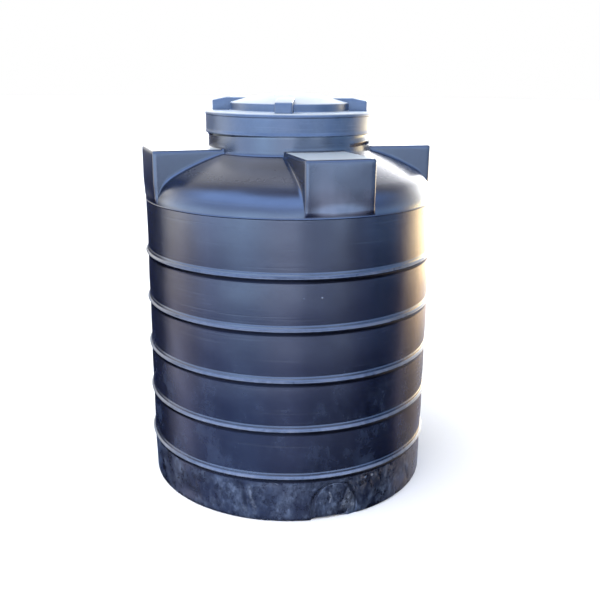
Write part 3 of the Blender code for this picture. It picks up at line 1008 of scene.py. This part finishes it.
def set_on_shader(finish, values):
    """Numbers, colours and values for the shader, by the names of its sockets."""
    for socket, value in values.items():
        finish.put(finish.shader.inputs[socket.replace("_", " ")], value)


def new_finish(name, **fixed):
    """A material whose shader gets its even values, named like the shader's sockets."""
    finish = Finish(bpy.data.materials.new(name))
    finish.shader = finish.tree.nodes["Principled BSDF"]
    set_on_shader(finish, fixed)
    return finish


# %% [markdown]
# ## The tank's plastic
# The tank is black-blue polyethylene. New, it has a half gloss. Years outdoors leave a fine layered wear:
# - the pigment is slightly mottled, as the powder melted;
# - handling leaves fine scratches that run round the tank, and wider scuffs, most of them low down;
# - rain carries dirt down in faint streaks, and dust stays on what lies nearly level;
# - the lugs' faces and the noses of the ribs are rubbed pale, and the rib noses also carry a painted
#   highlight;
# - the lugs' flat tops are painted pale, a painted glare of the sky on them.
#
# A painted picture could hold all this. Noises on the piece's own coordinates need no picture, don't
# repeat, and look right from every side. Each kind of wear is first a value from 0 to 1 that says where it
# is, and colour, gloss and relief are mixed from these values at the end.

# %% Mottling, scratches, streaks and scuffs
shell_finish = new_finish("tank_finish", Metallic=0.0, IOR=1.5)
f = shell_finish
place = f.node("TexCoord", output="Object")
side, front, up = f.axes(place)
upward = f.axes(f.node("NewGeometry", output="Normal"))[2]
mottle = f.noise(place, (9.0, 9.0, 6.0), 6.0, 0.62)
fine_mottle = f.noise(place, (70.0, 70.0, 45.0), 3.0, 0.65, (3.0, 1.0, 2.0))
scratches = f.patches(place, (5.0, 5.0, 380.0), (0.60, 0.78), 4.0, 0.7, (1.0, 4.0, 0.0))
long_lines = f.patches(place, (2.5, 2.5, 150.0), (0.60, 0.72), 2.0, 0.6, (7.0, 2.0, 5.0))
streaks = f.patches(place, (24.0, 24.0, 2.0), (0.50, 0.72), 5.0, 0.62, (0.0, 6.0, 3.0))
scuffs = f.patches(place, (13.0, 13.0, 10.0), (0.44, 0.80), 7.0, 0.68, (4.0, 8.0, 1.0))
scuffs = scuffs * (0.2 + fine_mottle * 1.5)
upright = f.step(upward, 0.60, 0.30)
low_down = f.step(up, 0.56, 0.16)
dust = f.step(upward, 0.84, 0.97) * (0.50 + mottle * 0.5)

# %% Where the front lug is rubbed, and the painted glare of the sky on the tops of all lugs
on_face = f.step(front, 0.006 - LUG_FACE, -0.001 - LUG_FACE) * f.step(up, LUG_TOP, LUG_TOP - 0.02)
on_face = on_face * f.step(up, SEAM_HEIGHT + 0.002, SEAM_HEIGHT + 0.010)
rubbed = f.patches(place, (13.0, 13.0, 9.0), (0.28, 0.66), 2.0, 0.45, (6.0, 2.0, 2.5))
low_face = f.step(up, LUG_TOP - 0.020, SEAM_HEIGHT + 0.020) * 0.55 + 0.25
lug_rub = on_face * rubbed * low_face * f.step(abs(side), LUG_HALF_WIDTH, LUG_HALF_WIDTH * 0.5)
# Painted highlight: the lugs' flat tops are painted pale for the glare of the sky on them.
lug_tops_painted_glare = f.step(abs(up - LUG_TOP), 0.004, 0.001) * f.step(upward, 0.93, 0.99)

# %% [markdown]
# ## Mud, dirt and painted shade
# The base band stands where rain splashes, so it carries dried mud, pale and blotchy, and its gloss is
# gone, with blots of dark dirt. The shade that falls under the ribs, under the lid and at the bottom of the
# band is painted into the colour as dark bands. A shader can work out hollows by itself, but that costs
# many rays and isn't carried into an exported model. The hollows of a turned tank lie at known heights, so
# steps on the height find them.

# %% Mud on the base band
mud_height = f.step(up, 0.126, 0.104)
mud_patches = f.patches(place, (15.0, 15.0, 9.0), (0.40, 0.62), 7.0, 0.72, (2.0, 2.0, 9.0))
mud_runs = f.patches(place, (52.0, 52.0, 34.0), (0.40, 0.64), 6.0, 0.72, (8.0, 3.0, 1.0))
mud_specks = f.patches(place, (120.0, 120.0, 90.0), (0.46, 0.62), 3.0, 0.65, (5.0, 2.0, 1.0))
mud = mud_height * (mud_patches * (0.02 + mud_runs * 0.34 + mud_specks * 0.20) + mud_runs * 0.03)
brown_side = f.step(side, 0.02, 0.08) * f.step(up, 0.04, 0.10) * mud_height


# %% Rib noses rubbed and painted with a highlight, painted shade under ribs, lid and base bottom, and dirt blots
def near_ribs(offset, reach):
    """1 near one height in every rib, counted from the rib's foot."""
    away = f.node("Math", {"operation": "PINGPONG"}, {0: up - (RIB_LOWEST + offset), 1: RIB_PITCH / 2})
    return f.step(away, reach, reach * 0.5) * f.step(up, 0.74, 0.73)


# The rib noses are painted pale: partly rubbed wear, partly a painted highlight along each nose.
rib_nose_wear_and_highlight = near_ribs(0.0078, 0.0036) * (0.25 + f.step(mottle + fine_mottle * 0.5, 0.55, 0.95) * 0.75)
# Painted shade: dark bands under each rib, under the lid's skirt and at the bottom of the base band. The
# blots are dark dirt.
painted_shade_under_ribs = near_ribs(-0.0038, 0.0066)
painted_shade_under_lid = f.step(up, SKIRT_BOTTOM - 0.0075, SKIRT_BOTTOM - 0.0045)
painted_shade_at_base_bottom = f.step(up + mud_runs * 0.012, 0.0240, 0.0060) * 0.85
blots = f.patches(place, (40.0, 40.0, 30.0), (0.50, 0.60), 5.0, 0.70, (1.0, 7.0, 4.0)) * mud_height * 0.80
painted_shade_and_dirt_blots = f.strongest([painted_shade_under_ribs, painted_shade_under_lid, painted_shade_at_base_bottom, blots])

# %% [markdown]
# ## Marks in their own places
# A used tank also has marks that no noise puts where they are: dirt along a crease, a graze, a chip. The
# arched flat gets painted shade and a painted highlight in the same way. They could be drawn over an
# unrolled wall. Here each is a line or a spot with a place along the wall and a height, so it can be moved
# by changing a number, and stays sharp at any size. Dark marks are dirt and painted shade in creases,
# painted shade along the rim of the arched flat and beside its cone, and a dark spot in a small dent. Light
# ones are grazes, and a painted highlight on the cone.

# %% Lines and spots along the wall
along = f.math("ARCTAN2", side, -front) * BODY_RADIUS


def on_wall(degrees):
    """A place along the wall, from its angle off the front."""
    return math.radians(degrees) * BODY_RADIUS


def line_mark(start, end, width, strength):
    """A line between two places on the wall, each a distance along it and a height."""
    share = (up - start[1]) * (1.0 / (end[1] - start[1]))
    away = abs(along - start[0] - share * (end[0] - start[0]))
    ends = f.step(share, -0.12, 0.08) * f.step(share, 1.12, 0.92)
    return f.step(away, width, width * 0.2) * ends * strength


def spot(at, height, size):
    far = (along - at) ** 2.0 + (up - height) ** 2.0
    return f.step(far, size**2, size**2 * 0.2)


# %% Painted shade on the rim of the arched flat, and the cone in it, which gets a painted highlight
ARCH_MIDDLE = FLAT_TOP - FLAT_HALF_WIDTH
above = f.math("MAXIMUM", up - ARCH_MIDDLE, 0.0)
arch_radius = f.math("SQRT", side**2.0 + above**2.0)
arch_edge = abs(arch_radius - (FLAT_HALF_WIDTH - 0.0035))
arch_width = 0.0045 + f.step(side, -0.02, -0.06) * 0.0055
on_front = f.step(front, -0.3, -0.34)
# Painted shade along the rim of the arched flat, wider on its left side, varied by the mud runs.
painted_shade_at_arch = f.step(arch_edge - arch_width, 0.0, -0.004) * f.step(up, 0.112, 0.106) * on_front
# The cone's face: further down it is painted pale as a painted highlight, flecked by the mud specks.
cone_height = f.step(CONE_TOP[1] - up, 0.004, 0.012) * f.step(up, 0.012, 0.030)
cone_side = abs(side - CONE_TOP[0]) - (CONE_TOP[1] - up) * 0.42
cone = cone_height * f.step(cone_side, 0.001, -0.005) * on_front

# %% The marks, each with its start, its end, its width and its strength
# The first two dark lines are painted shade along both sides of the cone; the next four follow creases, as
# dirt and painted shade in them.
DARK_LINES = (
    ((0.0420, 0.088), (0.0760, 0.020), 0.0085, 1.0),
    ((0.0380, 0.088), (0.0200, 0.040), 0.0070, 0.8),
    ((on_wall(-36.2), 0.104), (on_wall(-34.2), 0.022), 0.0085, 1.0),
    ((on_wall(18.3), 0.092), (on_wall(20.4), 0.026), 0.0110, 0.7),
    ((on_wall(-58.0), 0.085), (on_wall(-55.0), 0.020), 0.0090, 0.6),
    ((on_wall(38.0), 0.070), (on_wall(41.0), 0.022), 0.0090, 0.6),
    ((on_wall(-19.0), 0.1085), (on_wall(-14.8), 0.1115), 0.0120, 1.0),
)
# The first light line is a painted highlight along the cone's right side.
LIGHT_LINES = (
    ((0.0500, 0.066), (0.0590, 0.044), 0.0040, 0.7),
    ((-0.0155, 0.077), (-0.0100, 0.061), 0.0040, 0.8),
    ((-0.0100, 0.061), (-0.0140, 0.045), 0.0036, 0.8),
    ((on_wall(-24.2), 0.1155), (on_wall(-22.0), 0.108), 0.0030, 0.6),
    ((on_wall(-33.0), 0.100), (on_wall(-31.0), 0.036), 0.0080, 0.15 + mud_runs * 0.3),
    ((on_wall(-25.0), 0.8070), (on_wall(-16.8), 0.8080), 0.0160, 0.5),
)
DARK_SPOT = (on_wall(12.9), 0.1040, 0.0055)
LIGHT_SPOTS = (
    (on_wall(16.2), 0.1010, 0.0050),
    (on_wall(-6.5), 0.6120, 0.0028),
    (on_wall(-13.0), 0.6120, 0.0012),
)
# Dark marks: painted shade at the arch, beside the cone and in creases, with dirt in the creases.
shade_and_dirt_marks = f.strongest(
    [painted_shade_at_arch * (0.40 + mud_runs * 0.45), spot(*DARK_SPOT)] + [line_mark(*line) for line in DARK_LINES]
)
# Light marks: grazes, and a painted highlight on the cone.
grazes_and_painted_highlights = f.strongest(
    [cone * (0.25 + mud_specks * 0.55)]
    + [spot(*place_and_size) for place_and_size in LIGHT_SPOTS]
    + [line_mark(*line) for line in LIGHT_LINES]
)
print("marks on the wall:", len(DARK_LINES) + len(LIGHT_LINES) + len(LIGHT_SPOTS) + 1)

# %% Colour, gloss and relief of the shell
bare = f.mix(f.step(mottle, 0.35, 0.65), (0.0010, 0.0017, 0.0062), (0.0026, 0.0036, 0.0100))
colour = f.layers(bare, [
    (streaks * 0.30, (0.010, 0.013, 0.022)),
    (scuffs * low_down * 0.8, (0.018, 0.028, 0.052)),
    ((scratches * 0.30 + long_lines * 0.22) * upright, (0.024, 0.027, 0.034)),
    (dust, (0.120, 0.118, 0.122)),
    (lug_rub * 0.8, (0.085, 0.088, 0.120)),
    # Painted glare of the sky on the lugs' tops
    (lug_tops_painted_glare * 0.9, (0.42, 0.47, 0.50)),
    (mud, (0.115, 0.150, 0.215)),
    (brown_side * mud_specks * 0.6, (0.10, 0.085, 0.080)),
    # Rib noses: rubbed wear and a painted highlight
    (rib_nose_wear_and_highlight * (0.45 + low_down * 0.35), (0.125, 0.135, 0.160)),
    # Grazes, and a painted highlight on the cone
    (grazes_and_painted_highlights * 0.62, (0.20, 0.23, 0.29)),
    # Painted shade under the ribs, the lid and the base bottom, at the arch and beside the cone, with dirt
    # blots and dirt in creases
    (f.strongest([painted_shade_and_dirt_blots, shade_and_dirt_marks]) * 0.92, (0.0015, 0.0015, 0.0025)),
])
worn = scratches * upright * 0.03 + scuffs * low_down * 0.10 + rib_nose_wear_and_highlight * 0.14
dirty = mud_height * 0.04 + mud * 0.20 + dust * 0.08 - painted_shade_and_dirt_blots * 0.06
scored = (scratches + long_lines) * upright * 0.06 + shade_and_dirt_marks * 0.8
raised = fine_mottle * (0.10 + mud_height * 0.35) + mud * 0.30 + grazes_and_painted_highlights * 0.5
set_on_shader(f, {
    "Base Color": colour,
    "Roughness": 0.18 + mottle * 0.09 + fine_mottle * 0.05 + worn + dirty,
    "Normal": f.bump(mottle * 0.55 + raised - scored, 0.55, 0.0018),
})
print("tank finish has", len(f.tree.nodes), "nodes")

# %% [markdown]
# ## The lid's plastic and the gasket
# The lid comes from another batch and has stood in the sun, so it is greyer and duller, most of all on
# top. Its upward faces are also painted pale grey, a painted glare of the sky on its top. It could wear the
# tank's finish with other colours, but it has no mud, ribs or creases, so a short finish of its own is
# clearer. The gasket is plain rubber, with talc in its grain.

# %% Finish of the lid
lid_finish = new_finish("lid_finish", Metallic=0.0, IOR=1.5)
f = lid_finish
place = f.node("TexCoord", output="Object")
upward = f.axes(f.node("NewGeometry", output="Normal"))[2]
mottle = f.noise(place, (14.0, 14.0, 14.0), 6.0, 0.65)
grain = f.noise(place, (260.0, 260.0, 260.0), 2.0, 0.5)
rubs = f.patches(place, (7.0, 7.0, 300.0), (0.56, 0.72), 3.0, 0.7)
blotches = f.patches(place, (22.0, 22.0, 16.0), (0.42, 0.66), 5.0, 0.7, (2.0, 5.0, 1.0))
# Painted highlight: faces turned up are painted pale grey for the glare of the sky on the lid's top; the
# same mask makes them duller.
top_with_painted_glare = f.step(upward, 0.3, 0.95)
bare = f.mix(f.step(mottle, 0.35, 0.65), (0.008, 0.020, 0.044), (0.020, 0.036, 0.068))
colour = f.layers(bare, [
    (blotches * 0.30, (0.050, 0.068, 0.090)),
    (rubs * 0.25, (0.10, 0.12, 0.16)),
    # Painted glare of the sky on the lid's top
    (top_with_painted_glare * 0.8, (0.48, 0.53, 0.56)),
])
set_on_shader(f, {
    "Base Color": colour,
    "Roughness": 0.26 + mottle * 0.12 + blotches * 0.08 + top_with_painted_glare * 0.12,
    "Normal": f.bump(mottle * 0.5 + grain * 0.06, 0.4, 0.0014),
})
print("lid finish has", len(f.tree.nodes), "nodes")

# %% Finish of the gasket
rubber_finish = new_finish("gasket_finish", Metallic=0.0, IOR=1.45)
f = rubber_finish
place = f.node("TexCoord", output="Object")
talc = f.patches(place, (30.0, 30.0, 60.0), (0.5, 0.7), 4.0, 0.6)
set_on_shader(f, {
    "Base Color": f.mix(talc * 0.4, (0.014, 0.014, 0.015), (0.09, 0.09, 0.09)),
    "Roughness": 0.70 + talc * 0.15,
    "Normal": f.bump(f.noise(place, (400.0, 400.0, 400.0), 3.0, 0.6), 0.3, 0.0005),
})

# %% Give each piece its finish
finishes = {
    tank: shell_finish, thread_piece: shell_finish, lid_piece: lid_finish, lid_ridge_piece: lid_finish,
    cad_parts["lid_gasket"]: rubber_finish,
}
for piece, finish in finishes.items():
    piece.data.materials.clear()
    piece.data.materials.append(finish.owner)
    print(piece.name, "wears", finish.owner.name)

# %% [markdown]
# ## Light
# A dark glossy wall shows mostly what it mirrors, so the soft studio round this tank matters as much as
# its plastic. It has a bright band low in front, a cooler light above, dark stretches on the left and the
# right, and a warm glow behind on the right. Lamps and cards could stand there as objects. Here the
# world's own light has these stretches, because it is soft everywhere and nothing stands in the way of
# another view. It has three parts: what the gloss mirrors, a soft light for everything that scatters, and
# plain white as the backdrop.

# %% Directions in the studio, turned with the camera
CAMERA_AZIMUTH_DEG = -18.3

world = bpy.data.worlds.new("soft_studio")
bpy.context.scene.world = world
w = Finish(world)
w.tree.nodes.remove(w.tree.nodes["Background"])
turned = w.node(
    "VectorRotate", {"rotation_type": "Z_AXIS"},
    {"Vector": w.node("TexCoord", output="Generated"), "Angle": math.radians(-CAMERA_AZIMUTH_DEG)},
)
ray_side, ray_front, ray_up = w.axes(turned)
azimuth = w.math("ARCTAN2", ray_side, -ray_front) * math.degrees(1.0)
elevation = w.math("ARCSINE", ray_up) * math.degrees(1.0)

# %% How the light changes with height, in degrees above the horizon
LIGHT_TOP = 16.0
LOW_LIGHT = (
    (-90.0, (0.15, 0.2, 0.4)), (-32.0, (0.35, 0.5, 1.1)), (-27.5, (0.55, 0.85, 2.0)),
    (-24.0, (0.62, 0.82, 1.8)), (-20.0, (0.8, 1.1, 2.2)), (-16.0, (1.65, 1.9, 3.1)),
    (-11.5, (3.4, 4.1, 5.7)), (-8.5, (5.5, 6.7, 9.4)), (-5.0, (7.4, 10.4, 15.4)), (0.0, (3.6, 5.4, 9.2)),
)
HIGH_LIGHT_FRONT = (
    (0.0, (4.6, 6.6, 10.4)), (20.0, (2.6, 3.8, 6.8)), (46.0, (3.6, 5.8, 11.6)), (62.0, (3.3, 5.3, 10.6)),
    (73.0, (1.5, 2.1, 3.8)), (90.0, (0.9, 1.0, 1.5)),
)
HIGH_LIGHT_BACK = (
    (0.0, (7.0, 7.0, 7.0)), (12.0, (6.0, 6.0, 6.0)), (22.0, (3.6, 3.6, 3.7)), (31.0, (1.3, 1.35, 1.5)),
    (60.0, (1.1, 1.15, 1.4)), (90.0, (0.9, 1.0, 1.5)),
)

# %% How it changes round the tank, from the back over the left, the front and the right
TINT_TOP = 3.0
LOW_LIGHT_ROUND = (
    (-180.0, (0.05, 0.05, 0.08)), (-134.0, (0.04, 0.04, 0.06)), (-118.0, (0.06, 0.07, 0.10)),
    (-108.0, (0.62, 0.48, 0.34)), (-90.0, (0.80, 0.62, 0.48)), (-66.0, (0.62, 0.62, 0.70)),
    (-36.0, (0.88, 0.98, 1.05)), (0.0, (1.08, 1.0, 0.98)), (22.0, (0.78, 0.78, 0.82)),
    (42.0, (0.60, 0.58, 0.58)), (58.0, (0.20, 0.20, 0.26)), (74.0, (0.04, 0.06, 0.10)),
    (97.0, (0.05, 0.06, 0.09)), (106.0, (0.50, 0.33, 0.20)), (114.0, (1.45, 0.88, 0.40)),
    (132.0, (2.1, 1.25, 0.52)), (150.0, (1.9, 1.4, 0.8)), (168.0, (1.2, 0.9, 0.6)),
    (180.0, (0.05, 0.05, 0.08)),
)
HIGH_LIGHT_ROUND = (
    (-180.0, (1.0, 1.0, 1.0)), (-130.0, (1.1, 1.1, 1.1)), (-100.0, (0.90, 0.90, 0.90)),
    (-70.0, (0.95, 0.95, 0.95)), (48.0, (1.0, 1.0, 1.0)), (70.0, (0.34, 0.38, 0.44)),
    (96.0, (0.38, 0.40, 0.42)), (114.0, (0.60, 0.58, 0.55)), (136.0, (1.1, 1.1, 1.1)),
    (160.0, (1.9, 1.9, 1.9)), (180.0, (1.0, 1.0, 1.0)),
)


def by_degrees(value, low, high, stops, top):
    """A ramp whose stops are given in degrees, with colours divided by the brightest one."""
    span = high - low
    share = w.node("MapRange", None, {"Value": value, "From Min": low, "From Max": high})
    stops = [((degrees - low) / span, [part / top for part in colour]) for degrees, colour in stops]
    return w.node("ValToRGB", {"stops": stops}, {"Fac": share})


def by_height(low, high, stops):
    return by_degrees(elevation, low, high, stops, LIGHT_TOP)


def all_round(stops):
    return by_degrees(azimuth, -180.0, 180.0, stops, TINT_TOP)


# %% The low and the high light, mixed by direction
overhead = w.step(elevation, 58.0, 80.0)
behind = w.step(abs(azimuth), 80.0, 125.0) * (1.0 - overhead) + overhead * 0.5
untinted = [1.0 / TINT_TOP] * 3
high_light = w.mix(behind, by_height(0.0, 90.0, HIGH_LIGHT_FRONT), by_height(0.0, 90.0, HIGH_LIGHT_BACK))
high_light = w.mix(1.0, high_light, w.mix(overhead, all_round(HIGH_LIGHT_ROUND), untinted), "MULTIPLY")
low_light = w.mix(1.0, by_height(-90.0, 0.0, LOW_LIGHT), all_round(LOW_LIGHT_ROUND), "MULTIPLY")
mirrored = w.mix(w.step(elevation, -6.5, 2.0), low_light, high_light)
cool_card = w.step(azimuth, 46.0, 60.0) * w.step(azimuth, 106.0, 92.0) * w.step(elevation, -8.0, -5.5)
mirrored = w.mix(cool_card * w.step(elevation, 4.0, 0.0) * 0.85, mirrored, (0.036, 0.064, 0.118))

# %% [markdown]
# ## Cards in the light
# A perfectly smooth light gives a plastic wall that looks drawn. Photographers break it up with cards:
# dark ones take light away from one stretch, and pale ones add to it. Here each card is a patch between
# two azimuths and two elevations that multiplies the light, and a slow noise makes all of it uneven.


# %% Shading and brightening patches
def patch(value, low, high, soft):
    """1 between two values, with soft ends."""
    return w.step(value, low - soft, low + soft) * w.step(value, high + soft, high - soft)


uneven = 0.40 + w.noise(turned, (8.0, 8.0, 1.6), 4.0, 0.62) * 1.2
low_band = patch(elevation, -27.0, -18.0, 2.5)
left_strip = patch(azimuth + (elevation + 20.0) * 2.5, -109.0, -99.0, 3.5) * low_band * 4.0
right_strip = patch(azimuth, 101.0, 109.0, 3.0) * low_band * 4.0
right_shade = w.step(azimuth, 96.0, 108.0) * w.step(elevation, -12.5, -19.0) * 0.55
low_shade = patch(azimuth, 16.0, 90.0, 10.0) * w.step(elevation, -17.5, -22.5) * 0.62
left_shade = patch(azimuth, -164.0, -116.0, 6.0) * w.step(elevation, 20.0, 10.0) * 0.85
slits = patch(azimuth, 8.0, 32.0, 2.0) + patch(azimuth, 44.0, 60.0, 1.2)
slits = slits * patch(elevation, -10.2, -5.2, 0.5) * 0.9
shades = (1.0 - right_shade) * (1.0 - left_shade) * (1.0 - low_shade) * (1.0 - slits)
brightness = uneven * (1.0 + left_strip + right_strip) * shades

# %% Three parts of the light
SOFT_LIGHT_FROM = Vector((-0.55, -0.45, 0.70)).normalized()


def light_of(colour, strength):
    return w.node("Background", None, {"Color": colour, "Strength": strength})


towards = w.node("VectorMath", {"operation": "DOT_PRODUCT"}, {0: turned, 1: SOFT_LIGHT_FROM}, "Value")
total = light_of((0.97, 0.98, 1.0), 0.32 + w.step(towards, 0.0, 1.0) * 2.5)
parts = {
    "Is Glossy Ray": light_of(mirrored, brightness * LIGHT_TOP * TINT_TOP),
    "Is Camera Ray": light_of((1.0, 1.0, 1.0), 1.0),
}
for kind, part in parts.items():
    total = w.node("MixShader", None, {0: w.node("LightPath", output=kind), 1: total, 2: part})
w.put(w.tree.nodes["World Output"].inputs["Surface"], total)
world.cycles.sampling_method = "NONE"
bpy.context.scene.view_settings.view_transform = "Standard"
print("studio light has", len(w.tree.nodes), "nodes")

# %% [markdown]
# ## The floor
# The tank stands on a plain pale floor that fades into the backdrop. A wide disc is enough. The gloss
# doesn't mirror it, because the low light above already stands for what lies in front of the tank.

# %% Lay the floor
FLOOR_RADIUS = 40.0
floor_bm = bmesh.new()
bmesh.ops.create_circle(floor_bm, cap_ends=True, radius=FLOOR_RADIUS, segments=96)
floor_mesh = bpy.data.meshes.new("pale_floor")
floor_bm.to_mesh(floor_mesh)
floor_bm.free()
floor = bpy.data.objects.new("pale_floor", floor_mesh)
bpy.context.scene.collection.objects.link(floor)
floor.visible_glossy = False
floor_finish = new_finish("floor_paint", Base_Color=(0.93, 0.93, 0.93), Roughness=0.9)
floor_mesh.materials.append(floor_finish.owner)
print("floor reaches", FLOOR_RADIUS, "metres")

# %% [markdown]
# ## The camera
# A camera is matched to a photograph by its perspective: how much the rings of the tank open tells its
# height and its distance, and their spacing tells its lens. This one stands about 2.2 metres off and a
# little above the lid. It isn't quite level, and the tank is a little left of the middle of the frame.

# %% Place the camera
CAMERA_DISTANCE = 2.233
CAMERA_HEIGHT = 1.1335
CAMERA_PITCH_DEG = 15.96
CAMERA_YAW_DEG = -0.85
CAMERA_ROLL_DEG = 0.5
FOCAL_PIXELS = 786.7
FRAME_PIXELS = 600.0
SENSOR_MM = 36.0

camera_data = bpy.data.cameras.new("photo_view")
camera_data.sensor_width = SENSOR_MM
camera_data.lens = SENSOR_MM * FOCAL_PIXELS / FRAME_PIXELS
camera = bpy.data.objects.new("photo_view", camera_data)
bpy.context.scene.collection.objects.link(camera)
bpy.context.scene.camera = camera
heading = math.radians(CAMERA_AZIMUTH_DEG)
camera.location = (CAMERA_DISTANCE * math.sin(heading), -CAMERA_DISTANCE * math.cos(heading), CAMERA_HEIGHT)
turn = Matrix.Rotation(heading + math.radians(CAMERA_YAW_DEG), 3, "Z")
tilt = Matrix.Rotation(math.radians(90.0 - CAMERA_PITCH_DEG), 3, "X")
roll = Matrix.Rotation(math.radians(CAMERA_ROLL_DEG), 3, "Z")
camera.rotation_euler = (turn @ tilt @ roll).to_euler()
print("camera lens", round(camera_data.lens, 1), "mm")
